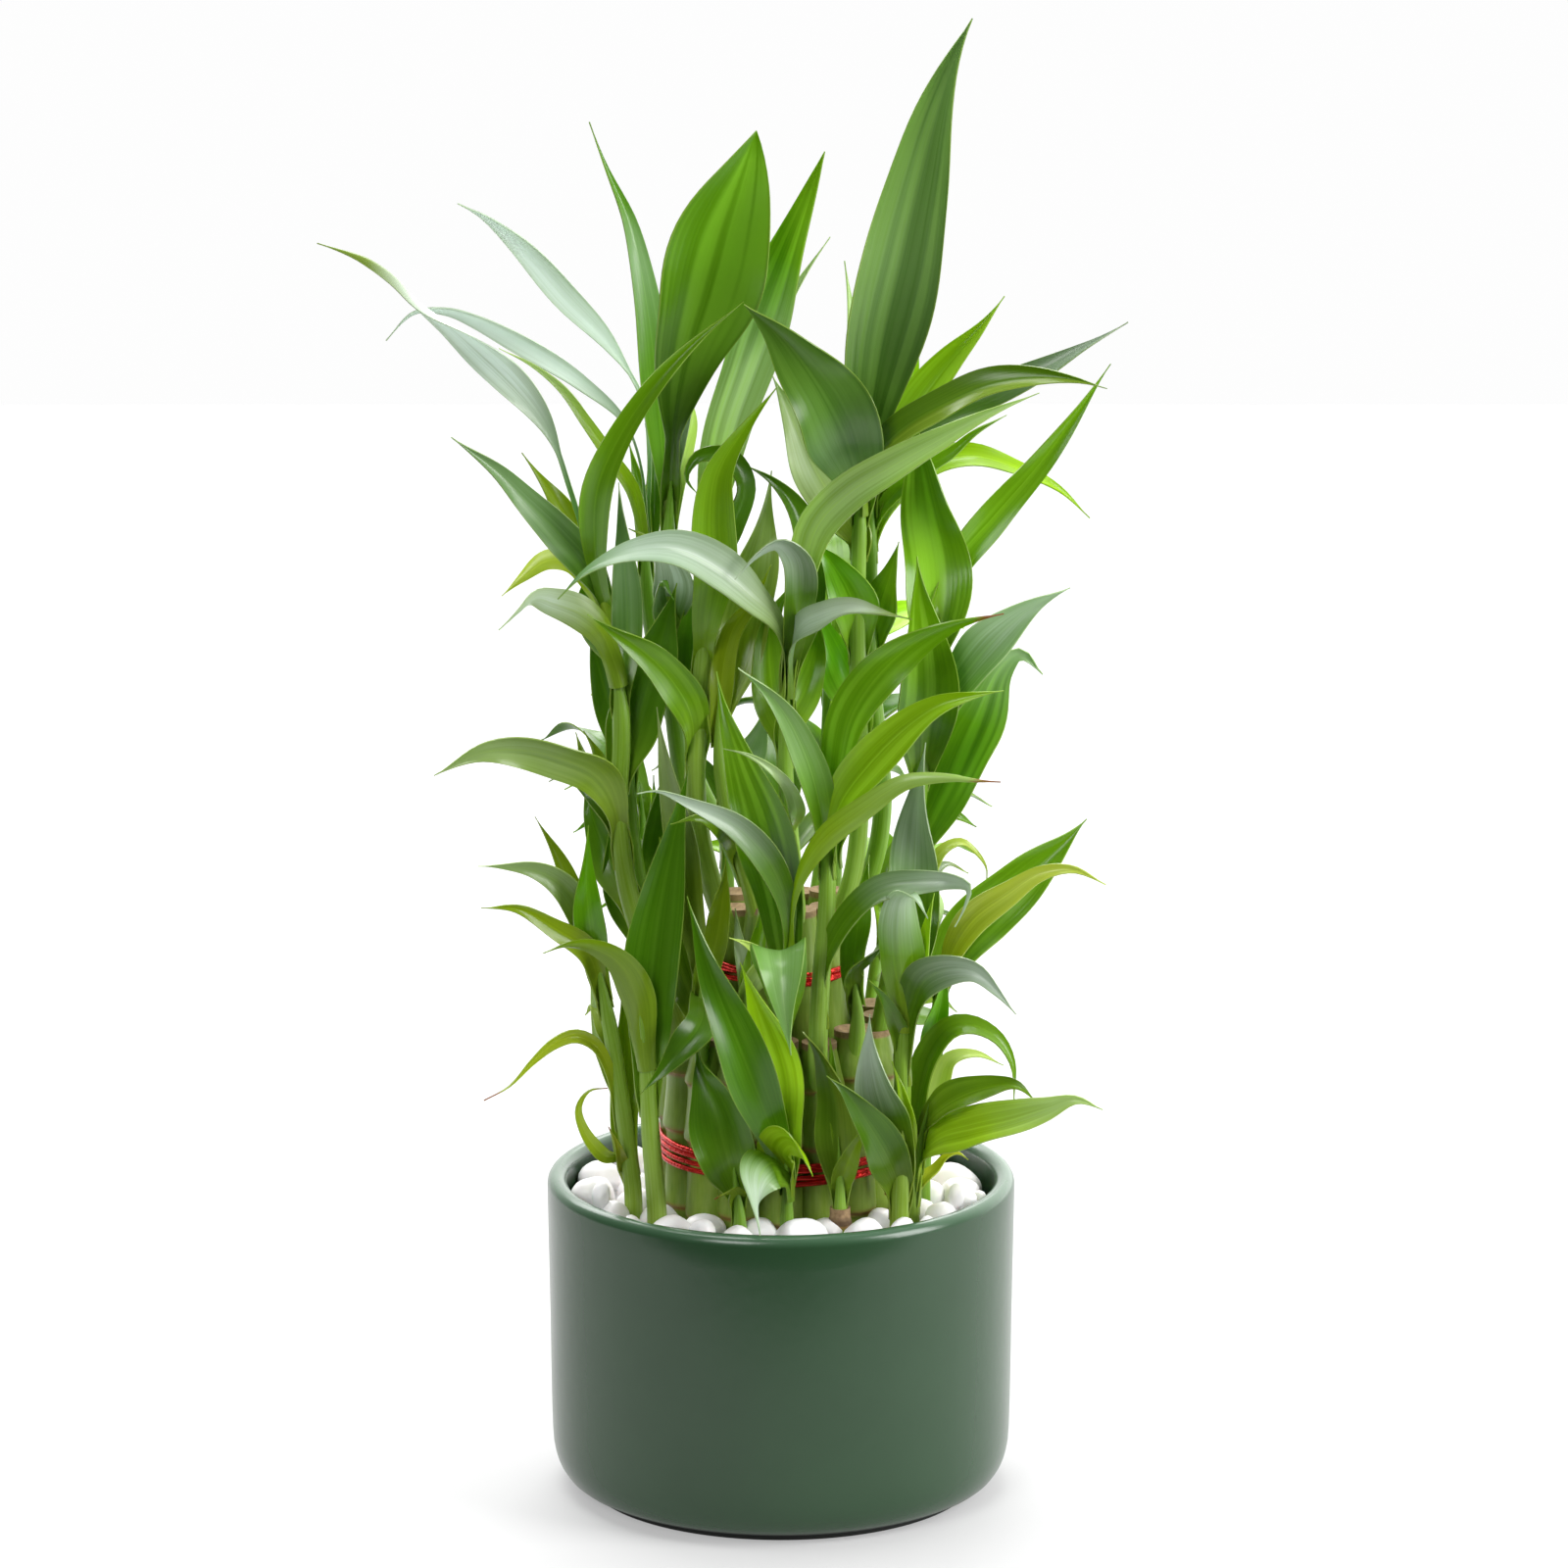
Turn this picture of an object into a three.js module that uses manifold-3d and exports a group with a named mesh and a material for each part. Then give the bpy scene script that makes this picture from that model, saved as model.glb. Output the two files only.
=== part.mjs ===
// Lucky bamboo in a glazed pot: cut canes stand in two tied tiers, each with a leafy shoot at its
// side, and younger stalks are planted round them in white pebbles. Millimetres, +Z up, with the
// origin under the middle of the pot and the front along -Y.
import * as THREE from "three";
import { mergeVertices } from "three/addons/utils/BufferGeometryUtils.js";
import Module from "manifold-3d";

const wasm = await Module();
wasm.setup();

// Driving dimensions.
const clearance = 0.3;
const potRadius = 80;
const potHeight = 110;
const rimRadius = 3.4;
const footRadius = 66.8;
const footHeight = 2.8;
const potFloor = 9;
const lowerEdge = [[69.6, 2.8], [72.8, 3.9], [75.4, 6.6], [77.3, 10.2], [78.4, 15], [79.3, 60]];
const innerWall = [[72.6, 40], [69, 22], [60, potFloor], [0, potFloor]];
const soilTop = 90;
const soilBrim = 71.9;
const holePlay = 0.4;
const pebbleTop = 108;
const pebbleBed = {
  inside: 41.4,
  outside: 71.5,
  low: soilTop + clearance,
  high: 97,
  rows: [{ ring: 62.3, count: 18, size: 9.9 }, { ring: 50, count: 14, size: 8 }],
  tall: 6.8,
  sunk: 7.6,
  heaped: 1.6,
  uneven: 0.16,
  long: 0.98,
  broad: 0.8,
  shifted: 0.35,
};
const through = 5;
const rootDepth = 62;
const caneFoot = 50;
const outerCane = { count: 16, ring: 33.7, radius: 6.2, top: 167, node: 131, shifted: 0 };
const innerCane = { count: 8, ring: 16.5, radius: 5.9, top: 208, node: 186, shifted: 0.5 };
const caneJoint = { plain: 0.97, waist: 0.93, run: 3 };
const caneUneven = { drop: 1.5, beat: 2.4 };
const stubCane = { radius: 3.6, top: 111 };
const wire = { radius: 1.1, lowerHeight: 116.5, upperHeight: 181, lowerTurns: 4, upperTurns: 3 };
const wireTail = {
  radius: 1.7,
  path: [[29.2, 113, -29.2], [33, 110.5, -32.5], [36, 105.5, -33.5], [36, 100.5, -33.5]],
};
const bandEase = 0.4;
const bladeThickness = 0.7;
const bladeStep = 26;
const stemStep = 40;
const bladeKeel = 0.22;
const keeledFrom = 12.5;
const bladeMiddle = 0.45;
const bladeSwell = { rise: 0.95, fall: 1.2 };
const bladeNeck = 0.2;
const bladeWave = { depth: 0.09, beat: 9 };
const shootGirth = 2.5;
const shootTaper = 0.3;
const bud = 0.95;
const crumb = 0.5;
const sliver = 0.1;
const turned = 36;
const rough = 24;

// The stalks are laid out as seen from the front: across and height in the upright picture plane
// through the pot's axis, and how far back the point lies. The eye looks down by the tilt.
const eye = { tilt: (13.25 * Math.PI) / 180, distance: 2500, across: 1, aim: 246.2, level: 239.4 };

function seen([across, height, back]) {
  const right = across - eye.across;
  const up = height - eye.level;
  const rise = Math.sin(eye.tilt);
  const run = Math.cos(eye.tilt);
  const depth = (back - up * rise) / (run + (up * rise) / eye.distance);
  const spread = 1 + depth / eye.distance;
  return new THREE.Vector3(
    eye.across + spread * right,
    back,
    eye.aim + spread * up * run - depth * rise,
  );
}

const towardsEye = new THREE.Vector3(0, -Math.cos(eye.tilt), Math.sin(eye.tilt));
const skyward = new THREE.Vector3(0, 0, 1);
const sidelong = new THREE.Vector3(1, 0, 0.2).normalize();

// Closed meshes become solids, so that what grows together can be joined and holes cut.
function solidOf(geometry) {
  const bare = new THREE.BufferGeometry();
  bare.setAttribute("position", geometry.getAttribute("position"));
  bare.setIndex(geometry.getIndex());
  const merged = mergeVertices(bare, 1e-4);
  const vertProperties = new Float32Array(merged.getAttribute("position").array);
  const triVerts = new Uint32Array(merged.getIndex().array);
  return new wasm.Manifold(new wasm.Mesh({ numProp: 3, vertProperties, triVerts }));
}

// Joined pieces become one body. Hollows sealed by joining are filled and crumbs dropped, but a
// piece that stands loose is an error in the layout.
function joined(solids) {
  const bodies = wasm.Manifold.union(solids).simplify(sliver).decompose();
  bodies.sort((a, b) => b.volume() - a.volume());
  if (bodies[1]?.volume() > crumb) throw new Error("a piece stands loose");
  return bodies[0];
}

function meshOf(name, solid, material) {
  const { vertProperties, triVerts, numProp } = solid.getMesh();
  const geometry = new THREE.BufferGeometry();
  const places = [];
  for (let i = 0; i < vertProperties.length; i += numProp) {
    places.push(vertProperties[i], vertProperties[i + 1], vertProperties[i + 2]);
  }
  geometry.setAttribute("position", new THREE.Float32BufferAttribute(places, 3));
  geometry.setIndex(new THREE.BufferAttribute(new Uint32Array(triVerts), 1));
  geometry.computeVertexNormals();
  const mesh = new THREE.Mesh(geometry, material);
  mesh.name = name;
  return mesh;
}

// A closed skin over a row of rings with equal counts. The first ring is capped, and the last one
// is capped or drawn together in a tip.
function skinned(rings, tip) {
  const sides = rings[0].length;
  const places = rings.flat().concat(tip ? [tip] : []);
  const faces = [];
  for (let i = 0; i + 1 < rings.length; i++) {
    for (let j = 0; j < sides; j++) {
      const a = i * sides + j;
      const b = i * sides + ((j + 1) % sides);
      faces.push(a, b, b + sides, a, b + sides, a + sides);
    }
  }
  const last = (rings.length - 1) * sides;
  for (let j = 1; j + 1 < sides; j++) faces.push(0, j + 1, j);
  for (let j = 0; tip && j < sides; j++) faces.push(last + j, last + ((j + 1) % sides), last + sides);
  for (let j = 1; !tip && j + 1 < sides; j++) faces.push(last, last + j, last + j + 1);
  const geometry = new THREE.BufferGeometry().setFromPoints(places);
  geometry.setIndex(faces);
  return solidOf(geometry);
}

function lathed(profile, segments) {
  const geometry = new THREE.LatheGeometry(
    profile.map(([radius, height]) => new THREE.Vector2(radius, height)),
    segments,
  );
  geometry.rotateX(Math.PI / 2);
  return solidOf(geometry);
}

function cylinder(x, y, low, high, radius, sides) {
  const geometry = new THREE.CylinderGeometry(radius, radius, high - low, sides);
  geometry.rotateX(Math.PI / 2);
  geometry.translate(x, y, (low + high) / 2);
  return solidOf(geometry);
}

// Frames along a curve that turn with it and never spin about it, with the share of the curve's
// length at each.
function frames(curve, stops, facing, roll) {
  const last = stops.length - 1;
  const middle = Math.round(last * bladeMiddle);
  const marks = stops.map((stop) => ({ at: curve.getPoint(stop), along: curve.getTangent(stop) }));
  let run = 0;
  marks.forEach((mark, i) => {
    run += i ? mark.at.distanceTo(marks[i - 1].at) : 0;
    mark.run = run;
  });
  for (const mark of marks) mark.share = mark.run / run;
  const first = marks[middle];
  first.side = new THREE.Vector3().crossVectors(first.along, facing).normalize();
  first.side.applyAxisAngle(first.along, THREE.MathUtils.degToRad(roll));
  const turn = new THREE.Quaternion();
  const carry = (from, to) => {
    turn.setFromUnitVectors(marks[from].along, marks[to].along);
    marks[to].side = marks[from].side.clone().applyQuaternion(turn);
  };
  for (let i = middle; i < last; i++) carry(i, i + 1);
  for (let i = middle; i > 0; i--) carry(i, i - 1);
  return marks;
}

// Half the width of a blade along its length, as a share: a narrow clasping neck, the widest
// place a little before the middle, and a long drawn-out tip.
function bladeShare(along, neck) {
  const t = Math.max(0, (along - neck) / (1 - neck));
  const { rise, fall } = bladeSwell;
  const swell = (s) => s ** rise * (1 - s) ** fall;
  return swell(t) / swell(rise / (rise + fall)) + bladeNeck * (1 - t) ** 2;
}

// A leaf, waved at its edges and split into like triangles on both faces. The wide ones are
// keeled along the midrib.
function bladeSolid({ width, roll, neck, spine, facing }) {
  const curve = new THREE.CatmullRomCurve3(spine, false, "centripetal");
  const steps = THREE.MathUtils.clamp(Math.round(curve.getLength() / bladeStep), 3, 7);
  const keeled = width >= keeledFrom;
  const stops = Array.from({ length: steps + 1 }, (_, i) => i / steps);
  const marks = frames(curve, stops, facing, roll);
  const rings = marks.slice(0, -1).map(({ at, along, side, share }) => {
    const normal = new THREE.Vector3().crossVectors(side, along);
    const half = (width / 2) * bladeShare(share, neck);
    const wave = bladeWave.depth * half * Math.sin(bladeWave.beat * share + width);
    const keel = keeled ? bladeKeel * half : 0;
    const edge = (way, lift) =>
      at.clone().addScaledVector(side, way * half).addScaledVector(normal, keel + lift);
    const line = [edge(-1, wave), at, edge(1, -wave)].filter((_, k) => keeled || k !== 1);
    const skin = normal.clone().multiplyScalar(bladeThickness / 2);
    const upper = line.map((point) => point.clone().add(skin));
    const lower = line.map((point) => point.clone().sub(skin));
    return [...upper, ...lower.reverse()];
  });
  return skinned(rings, marks[steps].at);
}

// A shoot's stem, slightly thinner at its upper end, closed in a point by the rolled young leaf.
function stemSolid(path, girth) {
  const curve = new THREE.CatmullRomCurve3(path, false, "centripetal");
  const steps = THREE.MathUtils.clamp(Math.round(curve.getLength() / stemStep), 2, 6);
  const stops = Array.from({ length: steps + 1 }, (_, i) => (bud * i) / steps).concat(1);
  const marks = frames(curve, stops, sidelong, 0);
  const sides = 6;
  const rings = marks.slice(0, -1).map(({ at, along, side, share }) => {
    const radius = girth * (1 - shootTaper * share);
    return Array.from({ length: sides }, (_, j) =>
      at.clone().addScaledVector(
        side.clone().applyAxisAngle(along, (2 * Math.PI * j) / sides),
        radius,
      ),
    );
  });
  return skinned(rings, marks.at(-1).at);
}

// A cane: straight, with one swollen joint ring and a flat cut top.
function caneSolid(x, y, { radius, top, node }, drop) {
  const sides = 8;
  const heights = [
    [caneFoot, caneJoint.plain],
    [node - drop, 1],
    [node + caneJoint.run - drop, caneJoint.waist],
    [top - drop, caneJoint.plain],
  ];
  const rings = heights.map(([height, share]) =>
    Array.from({ length: sides }, (_, j) => {
      const turn = (2 * Math.PI * j) / sides;
      return new THREE.Vector3(
        x + radius * share * Math.cos(turn),
        y + radius * share * Math.sin(turn),
        height,
      );
    }),
  );
  return skinned(rings);
}

const blade = (width, roll, neck, ...spine) => ({ width, roll, neck, spine });

// The front stalks, from the front and clockwise as seen from above. A shoot leaves its cane at
// the height given first. A blade's row holds its width, its roll out of the picture, how much of
// it is narrow neck, and its midrib from the stem to the tip.
const outerShoots = {
  0: {
    height: 148,
    stem: [[1, 163, -42], [2, 174, -42.5], [2.5, 187, -42.5]],
    blades: [
      blade(9, 15, 0.1, [2, 176, -42], [2, 198, -45], [-4, 213, -50], [-15, 225, -56],
        [-30, 232.5, -62], [-42, 237, -67], [-49, 236, -70]),
      blade(8, 160, 0.2, [3, 178, -42.5], [5, 204, -47], [13, 219, -53], [28, 231, -60],
        [42, 240, -64], [56, 241.5, -66], [66, 240.5, -67], [75, 240, -68]),
      blade(18, 180, 0, [1, 162, -43], [0, 174, -50], [-0.5, 183, -60], [0, 177, -70],
        [1, 165, -75], [3.5, 147, -78]),
      blade(19, -12, 0, [2, 176, -41], [-1, 205, -39], [-7, 228, -41], [-14, 248, -40],
        [-19, 264, -36], [-22, 278, -30]),
    ],
  },
  1: {
    height: 136,
    stem: [[12.5, 150, -41], [13.5, 172, -42], [15.5, 198, -42], [16, 222, -41], [16.5, 234, -41]],
    blades: [
      blade(11, 20, 0.05, [15.5, 214, -41], [13, 232, -46], [9, 247, -50], [2, 262, -54],
        [-5, 271, -57], [-15, 279, -60]),
      blade(14, -25, 0.05, [15.5, 214, -42], [20, 232, -47], [30, 246, -52], [42, 258, -55],
        [54, 266, -58], [66, 269.5, -60], [76, 271, -61]),
      blade(16, -20, 0.1, [16, 222, -40], [20, 245, -40], [24, 262, -42], [33, 276, -45],
        [45, 287, -48], [58, 293.5, -52], [76, 297, -55]),
      blade(10, -30, 0.1, [13.2, 166, -42], [16, 182, -45], [22, 193, -48], [33, 203, -51],
        [46, 206, -54], [58, 206.5, -57], [64, 204, -62], [62, 197, -66], [58.5, 190.5, -68]),
      blade(6, 30, 0, [15.8, 214, -41], [11.5, 233, -35], [6.5, 247, -31]),
    ],
  },
  2: {
    height: 146,
    stem: [[26, 160, -31], [25, 172, -32], [24.5, 180, -32]],
    blades: [
      blade(7, 30, 0, [25, 168, -32], [24, 175, -37], [29, 180, -40], [36, 185.5, -42]),
      blade(9, -15, 0, [24.5, 172, -32], [25.5, 188, -31], [28, 203, -29], [30, 216, -27]),
    ],
  },
  3: {
    height: 150,
    stem: [[37, 175, -14], [42, 200, -14], [45.5, 225, -15], [48, 250, -17], [50, 275, -19],
      [51.5, 300, -20]],
    blades: [
      blade(23, -20, 0.05, [43.5, 212, -14], [50, 226, -11], [59, 244, -8], [67, 262, -5],
        [74, 278, -3], [81, 283.5, -2], [89, 276, -1]),
      blade(19, 5, 0, [47.5, 243, -18], [48.5, 258, -27], [50, 273, -31], [49, 290, -33],
        [47, 305, -34], [46, 317, -35]),
      blade(16, -30, 0.05, [48.5, 254, -18], [54, 264, -22], [63, 277, -25], [74, 290, -27],
        [86, 300, -29], [98.5, 306, -31]),
      blade(22, -10, 0, [50.5, 280, -19], [53, 297, -16], [53, 313, -12], [50, 331, -9],
        [47, 350, -7], [44, 366, -6]),
      blade(11, 20, 0, [51.5, 294, -19], [60, 316, -4], [72, 330, 0], [86, 346, 2],
        [98, 362, 4], [112, 382, 6]),
      blade(8, -30, 0, [51.3, 290, -18], [60, 315, 7], [69, 331.5, 14]),
    ],
  },
  4: {
    height: 152,
    stem: [[39, 166, 0], [43, 180, 2], [46, 196, 3]],
    blades: [
      blade(6, -40, 0, [45, 190, 3], [50, 208, 5], [55, 217, 6], [61, 219.5, 7], [66, 216, 8],
        [69.5, 211, 9], [69.7, 206, 9]),
      blade(6, 40, 0, [45, 190, 2], [50.5, 204, -4], [54, 198, -8], [53.2, 190, -10],
        [51, 181, -11]),
      blade(9, -35, 0, [45.5, 193, 4], [50, 207, 10], [56, 212, 14], [64, 209, 17]),
      blade(9, -40, 0, [43, 180, 2], [47, 183, 9], [54, 175, 14]),
      blade(8, -35, 0, [39.5, 168, 1], [46, 168, 9], [53, 167, 13], [60, 162, 16]),
      blade(8, -35, 0, [38.5, 163, 0.5], [46, 161, 5], [52, 160, 9], [57, 155, 13]),
    ],
  },
  12: {
    height: 150,
    stem: [[-39, 165, 0], [-45, 190, -1], [-50, 220, -2], [-53, 255, -4], [-56, 285, -6],
      [-61, 309, -8]],
    blades: [
      blade(12.5, -10, 0.22, [-60, 302, -8], [-65.5, 320, -12], [-71, 338, -16], [-79, 360, -20],
        [-92, 377, -24], [-108, 392, -28], [-122, 402, -31], [-131, 411, -33], [-141, 417, -35],
        [-157.5, 422.5, -38]),
      blade(11.5, 10, 0, [-60, 303, -8], [-67, 315, -18], [-76, 325, -24], [-87, 336, -30],
        [-97, 346, -35], [-112, 357, -40]),
      blade(9, 20, 0, [-60, 302, -7], [-67, 320, -1], [-76, 335, 3], [-83, 345, 6],
        [-88, 352, 8]),
      blade(9.5, 0, 0, [-59, 298, -8], [-63, 320, -22], [-62, 340, -30], [-54, 358, -35],
        [-43, 374, -37], [-30, 388, -37], [-12, 403, -36]),
      blade(8, 165, 0, [-59.5, 300, -7], [-70, 314, -5], [-79, 315, -4], [-87, 309.5, -5],
        [-95, 302.5, -7]),
      blade(10, 10, 0, [-56, 282, -5], [-63, 291, -1], [-66, 301, 1], [-65, 313, 3]),
      blade(12, 5, 0, [-41, 172, 0], [-42, 195, 8], [-43, 218, 12], [-43, 243, 13]),
    ],
  },
  13: {
    height: 146,
    stem: [[-38, 165, -21], [-46, 185, -24], [-52, 205, -26], [-55, 230, -27], [-54, 252, -27],
      [-54.5, 270, -27], [-58, 287, -28]],
    blades: [
      blade(11, 170, 0.1, [-56.5, 280, -28], [-61, 291, -33], [-68, 297, -37], [-77, 300.5, -41],
        [-83, 302, -46], [-88, 298, -50], [-96, 291, -54]),
      blade(19, -10, 0, [-54, 244, -26], [-50, 256, -22], [-45, 272, -20], [-40, 290, -19],
        [-35, 308, -18]),
      blade(15, -20, 0.1, [-54, 218, -27], [-57, 234, -34], [-63, 243, -40], [-74, 248, -46],
        [-87, 251, -50], [-101, 250, -54], [-118, 242, -58]),
      blade(7, 10, 0, [-55, 228, -26], [-62, 240, -16], [-67, 249, -12], [-69.5, 257.5, -9]),
      blade(8, 0, 0, [-54.8, 224, -26], [-58, 238, -24], [-62, 249, -22], [-67, 258, -21]),
      blade(4.5, 20, 0, [-54, 218, -28], [-62, 232, -32], [-71, 241, -33], [-81, 245, -34]),
      blade(5, 20, 0, [-54, 219, -26], [-65, 238, -19], [-72.5, 243, -16], [-79, 240, -15]),
      blade(12, -10, 0, [-50, 198, -25], [-58, 214, -14], [-64, 229, -10], [-67, 243, -8]),
    ],
  },
  14: {
    height: 138,
    stem: [[-27, 150, -32], [-27, 165, -33], [-26.5, 178, -33]],
    blades: [
      blade(11, 10, 0, [-26.5, 168, -33], [-27, 159, -44], [-35, 148, -53], [-48, 134, -59]),
      blade(11, -10, 0, [-26.7, 174, -33], [-32, 205, -29], [-36, 230, -30], [-40, 250, -33],
        [-42, 266, -35]),
      blade(9, -10, 0, [-26.5, 170, -33], [-21.5, 188, -35], [-19.5, 203, -35],
        [-18.5, 215, -34]),
    ],
  },
  15: {
    height: 140,
    stem: [[-13, 152, -39], [-12, 165, -40], [-11, 176, -40]],
    blades: [
      blade(7, 20, 0, [-11.5, 168, -40], [-6, 180, -47], [-11, 185, -50], [-18, 187.5, -52]),
      blade(6, 0, 0, [-11.2, 172, -39], [-8, 184, -35], [-7, 194, -33], [-8, 203, -32]),
      blade(5, 0, 0, [-11.5, 170, -39], [-14, 186, -34], [-15.5, 198, -31]),
    ],
  },
};

const innerShoots = {
  0: {
    height: 192,
    stem: [[5, 203, -21], [3, 225, -22], [1.5, 245, -23], [2, 265, -24], [3, 283, -25]],
    blades: [
      blade(14, 35, 0.12, [2.5, 276, -25], [-1, 293, -32], [-10, 302, -38], [-22, 312, -44],
        [-36, 318.5, -50], [-52, 317.5, -56], [-66, 311, -62], [-76, 301.5, -66]),
      blade(10, -40, 0.1, [2.5, 277, -25], [7, 292, -33], [14, 296, -40], [24, 298.5, -48],
        [34, 297, -54], [45, 295, -60]),
      blade(13, -20, 0.1, [2.3, 270, -24], [7, 293, -23], [8, 311, -23], [12, 326, -24],
        [22, 337, -28], [38, 347, -35], [54, 356, -40], [70, 364.5, -43], [88, 372, -45]),
      blade(12, 15, 0, [2.8, 278, -24], [9, 303, -16], [9, 321, -13], [4, 334, -13],
        [-3, 342, -14], [-13, 348, -15]),
      blade(11, 25, 0, [2.8, 280, -26], [6, 303, -32], [5, 316, -37], [-1, 321, -41],
        [-8, 317, -43], [-16, 308, -45]),
      blade(14, 5, 0, [1.8, 254, -22], [-2, 267, -15], [-4, 282, -12], [-3, 295, -10],
        [4, 308, -8]),
      blade(5.5, 20, 0, [3, 220, -22], [5, 231, -40], [2, 239, -49], [-4, 245, -53],
        [-12, 249.5, -54], [-20, 251.5, -54]),
    ],
  },
  1: {
    height: 194,
    stem: [[23, 204, -9], [26, 220, -9], [27, 245, -10], [26, 275, -11], [26, 305, -12],
      [27, 335, -12], [28, 350, -12]],
    blades: [
      blade(26.5, 5, 0.02, [27.5, 342, -12], [30, 365, -15], [34, 390, -17], [40, 415, -19],
        [46, 440, -21], [53, 467, -23], [60, 488, -24], [65, 499, -25]),
      blade(23, -10, 0, [27, 336, -13], [24, 346, -21], [18, 360, -28], [8, 376, -34],
        [-2, 390, -39], [-13, 402, -42]),
      blade(8, 10, 0, [27.3, 336, -12], [26, 370, -2], [24.5, 392, 2], [21.5, 417, 5]),
      blade(14, 10, 0, [26.5, 322, -11], [20, 332, -6], [12, 345, -2], [5, 360, 1],
        [-3, 378, 3]),
      blade(15, 10, 0, [26, 288, -12], [24, 302, -16], [18, 313, -17], [9, 323, -17]),
      blade(12, 5, 0, [26.5, 262, -10], [20, 276, -2], [14, 291, 2], [10, 307, 4]),
      blade(14, -35, 0, [27.2, 338, -13], [33, 351, -22], [42, 360, -27], [56, 368, -31],
        [72, 374.5, -34], [88, 377, -36], [100, 376, -38], [111, 373, -39]),
    ],
  },
  2: {
    height: 190,
    stem: [[26, 200, 5], [32, 215, 3], [34.5, 235, 2], [32.5, 257, 2], [30.5, 280, 2],
      [30, 310, 3], [31, 345, 4]],
    blades: [
      blade(12, -20, 0.05, [30.8, 338, 4], [42, 355, 2], [58, 366, 0], [76, 374, -2],
        [92, 381, -4], [105, 388, -6], [118, 396, -8]),
      blade(14, -10, 0, [30.7, 334, 4], [40, 358, 9], [48, 370, 11], [58, 383, 13],
        [68, 394, 14], [76, 405, 15]),
      blade(11, -5, 0, [30.6, 332, 4], [36, 352, 15], [41, 366, 20], [45, 380, 23],
        [47, 392, 25]),
      blade(10, -30, 0.05, [30.3, 322, 4], [42, 340, 9], [54, 348, 12], [66, 350, 13],
        [80, 346, 15], [94, 339, 16], [105, 329, 17]),
      blade(5.5, -20, 0, [30.3, 326, 3], [45, 344, 1], [57, 351, 2], [66, 358.5, 3],
        [77, 364.5, 4]),
      blade(12, -10, 0, [30, 286, 2], [33, 298, -1], [37, 310, -2], [40, 322, -3]),
    ],
  },
  4: {
    height: 192,
    stem: [[-15, 214, 17], [-28, 240, 13], [-39, 270, 11], [-45, 300, 10], [-46, 331, 9]],
    blades: [
      blade(9, 15, 0.3, [-45.8, 322, 9], [-44.5, 350, 13], [-47, 370, 16], [-58, 388, 19],
        [-73, 404, 23], [-88, 421, 27], [-100, 431, 30], [-110, 436, 32]),
      blade(7, 10, 0.25, [-45.8, 320, 9], [-47, 345, 6], [-53, 362, 6], [-68, 375, 8],
        [-85, 386, 10], [-103, 396, 12], [-113, 399.5, 13], [-124, 399, 15], [-134, 389, 18]),
      blade(5, 10, 0, [-45.7, 316, 9], [-50, 338, 4], [-58, 350, 1], [-66, 362, -1],
        [-74, 373, -3], [-84, 381, -5], [-96, 387, -7]),
      blade(6, 0, 0, [-45.5, 312, 10], [-47, 332, 15], [-49, 345, 19], [-52, 357, 22]),
      blade(6, 0, 0, [-45.5, 314, 10], [-43, 335, 17], [-44, 350, 21], [-46, 362, 24]),
    ],
  },
  5: {
    height: 190,
    stem: [[-23, 205, 4], [-31, 230, 2], [-36, 260, 0], [-38, 290, -1], [-38, 320, -2],
      [-37, 346, -3]],
    blades: [
      blade(10, 10, 0.05, [-38, 322, -2], [-40, 350, 3], [-42.5, 378, 6], [-45.5, 402, 8],
        [-51, 428, 10], [-59, 447, 12], [-65, 464, 14]),
      blade(33, 5, 0.2, [-37.3, 338, -3], [-36, 362, -11], [-32, 384, -17], [-25.5, 405, -21],
        [-19.5, 425, -24], [-13, 445, -26], [-8, 461, -27]),
      blade(5.5, 0, 0, [-37, 342, -3], [-33, 365, -9], [-28, 380, -13], [-23, 393, -15]),
      blade(8, 0, 0, [-37.5, 332, -2], [-34, 350, 3], [-30, 362, 7], [-31, 373, 10]),
    ],
  },
  6: {
    height: 190,
    stem: [[-21, 198, -12], [-25, 211, -14], [-28, 226, -15], [-29, 245, -16], [-28, 262, -16],
      [-26, 285, -15], [-25, 310, -14], [-25, 331, -13]],
    blades: [
      blade(13, 15, 0, [-29, 248, -16], [-31, 264, -24], [-39, 277, -30], [-50, 287, -36],
        [-66, 297, -42]),
      blade(14, -5, 0.05, [-26.5, 278, -15], [-25, 295, -23], [-22.5, 312, -28],
        [-23, 330, -31], [-21, 345, -33], [-12, 360, -35], [-1, 374, -37]),
      blade(18, -5, 0, [-25.5, 315, -14], [-23, 335, -11], [-18.5, 358, -9], [-11, 380, -10],
        [-2, 405, -12], [6.5, 430, -14], [15, 454, -16]),
      blade(8, 0, 0, [-25, 320, -13], [-18, 350, 2], [-10, 375, 8], [-1, 397, 12],
        [8, 412, 14], [17, 425, 15]),
      blade(12, 0, 0, [-28, 256, -15], [-29, 275, -7], [-29, 296, -3], [-28, 318, -2]),
      blade(9, 40, 0, [-25.3, 308, -15], [-17, 326, -20], [-12.5, 340, -20], [-18, 349.5, -21],
        [-28, 350, -22], [-32, 343, -23], [-27, 336, -24]),
    ],
  },
  7: {
    height: 194,
    stem: [[-11, 206, -19], [-17, 225, -20], [-21, 250, -20], [-21, 270, -20]],
    blades: [
      blade(8, 5, 0, [-21, 260, -20], [-19.3, 280, -18], [-16, 292, -17], [-9, 302, -18],
        [-3, 314, -19]),
      blade(13, 0, 0, [-17.5, 228, -19], [-13, 243, -8], [-8, 256, -3], [-4, 269, 0]),
      blade(8, 20, 0, [-14, 214, -20], [-19.5, 224, -41], [-28, 228, -48], [-38, 225.5, -51]),
    ],
  },
};

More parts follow.
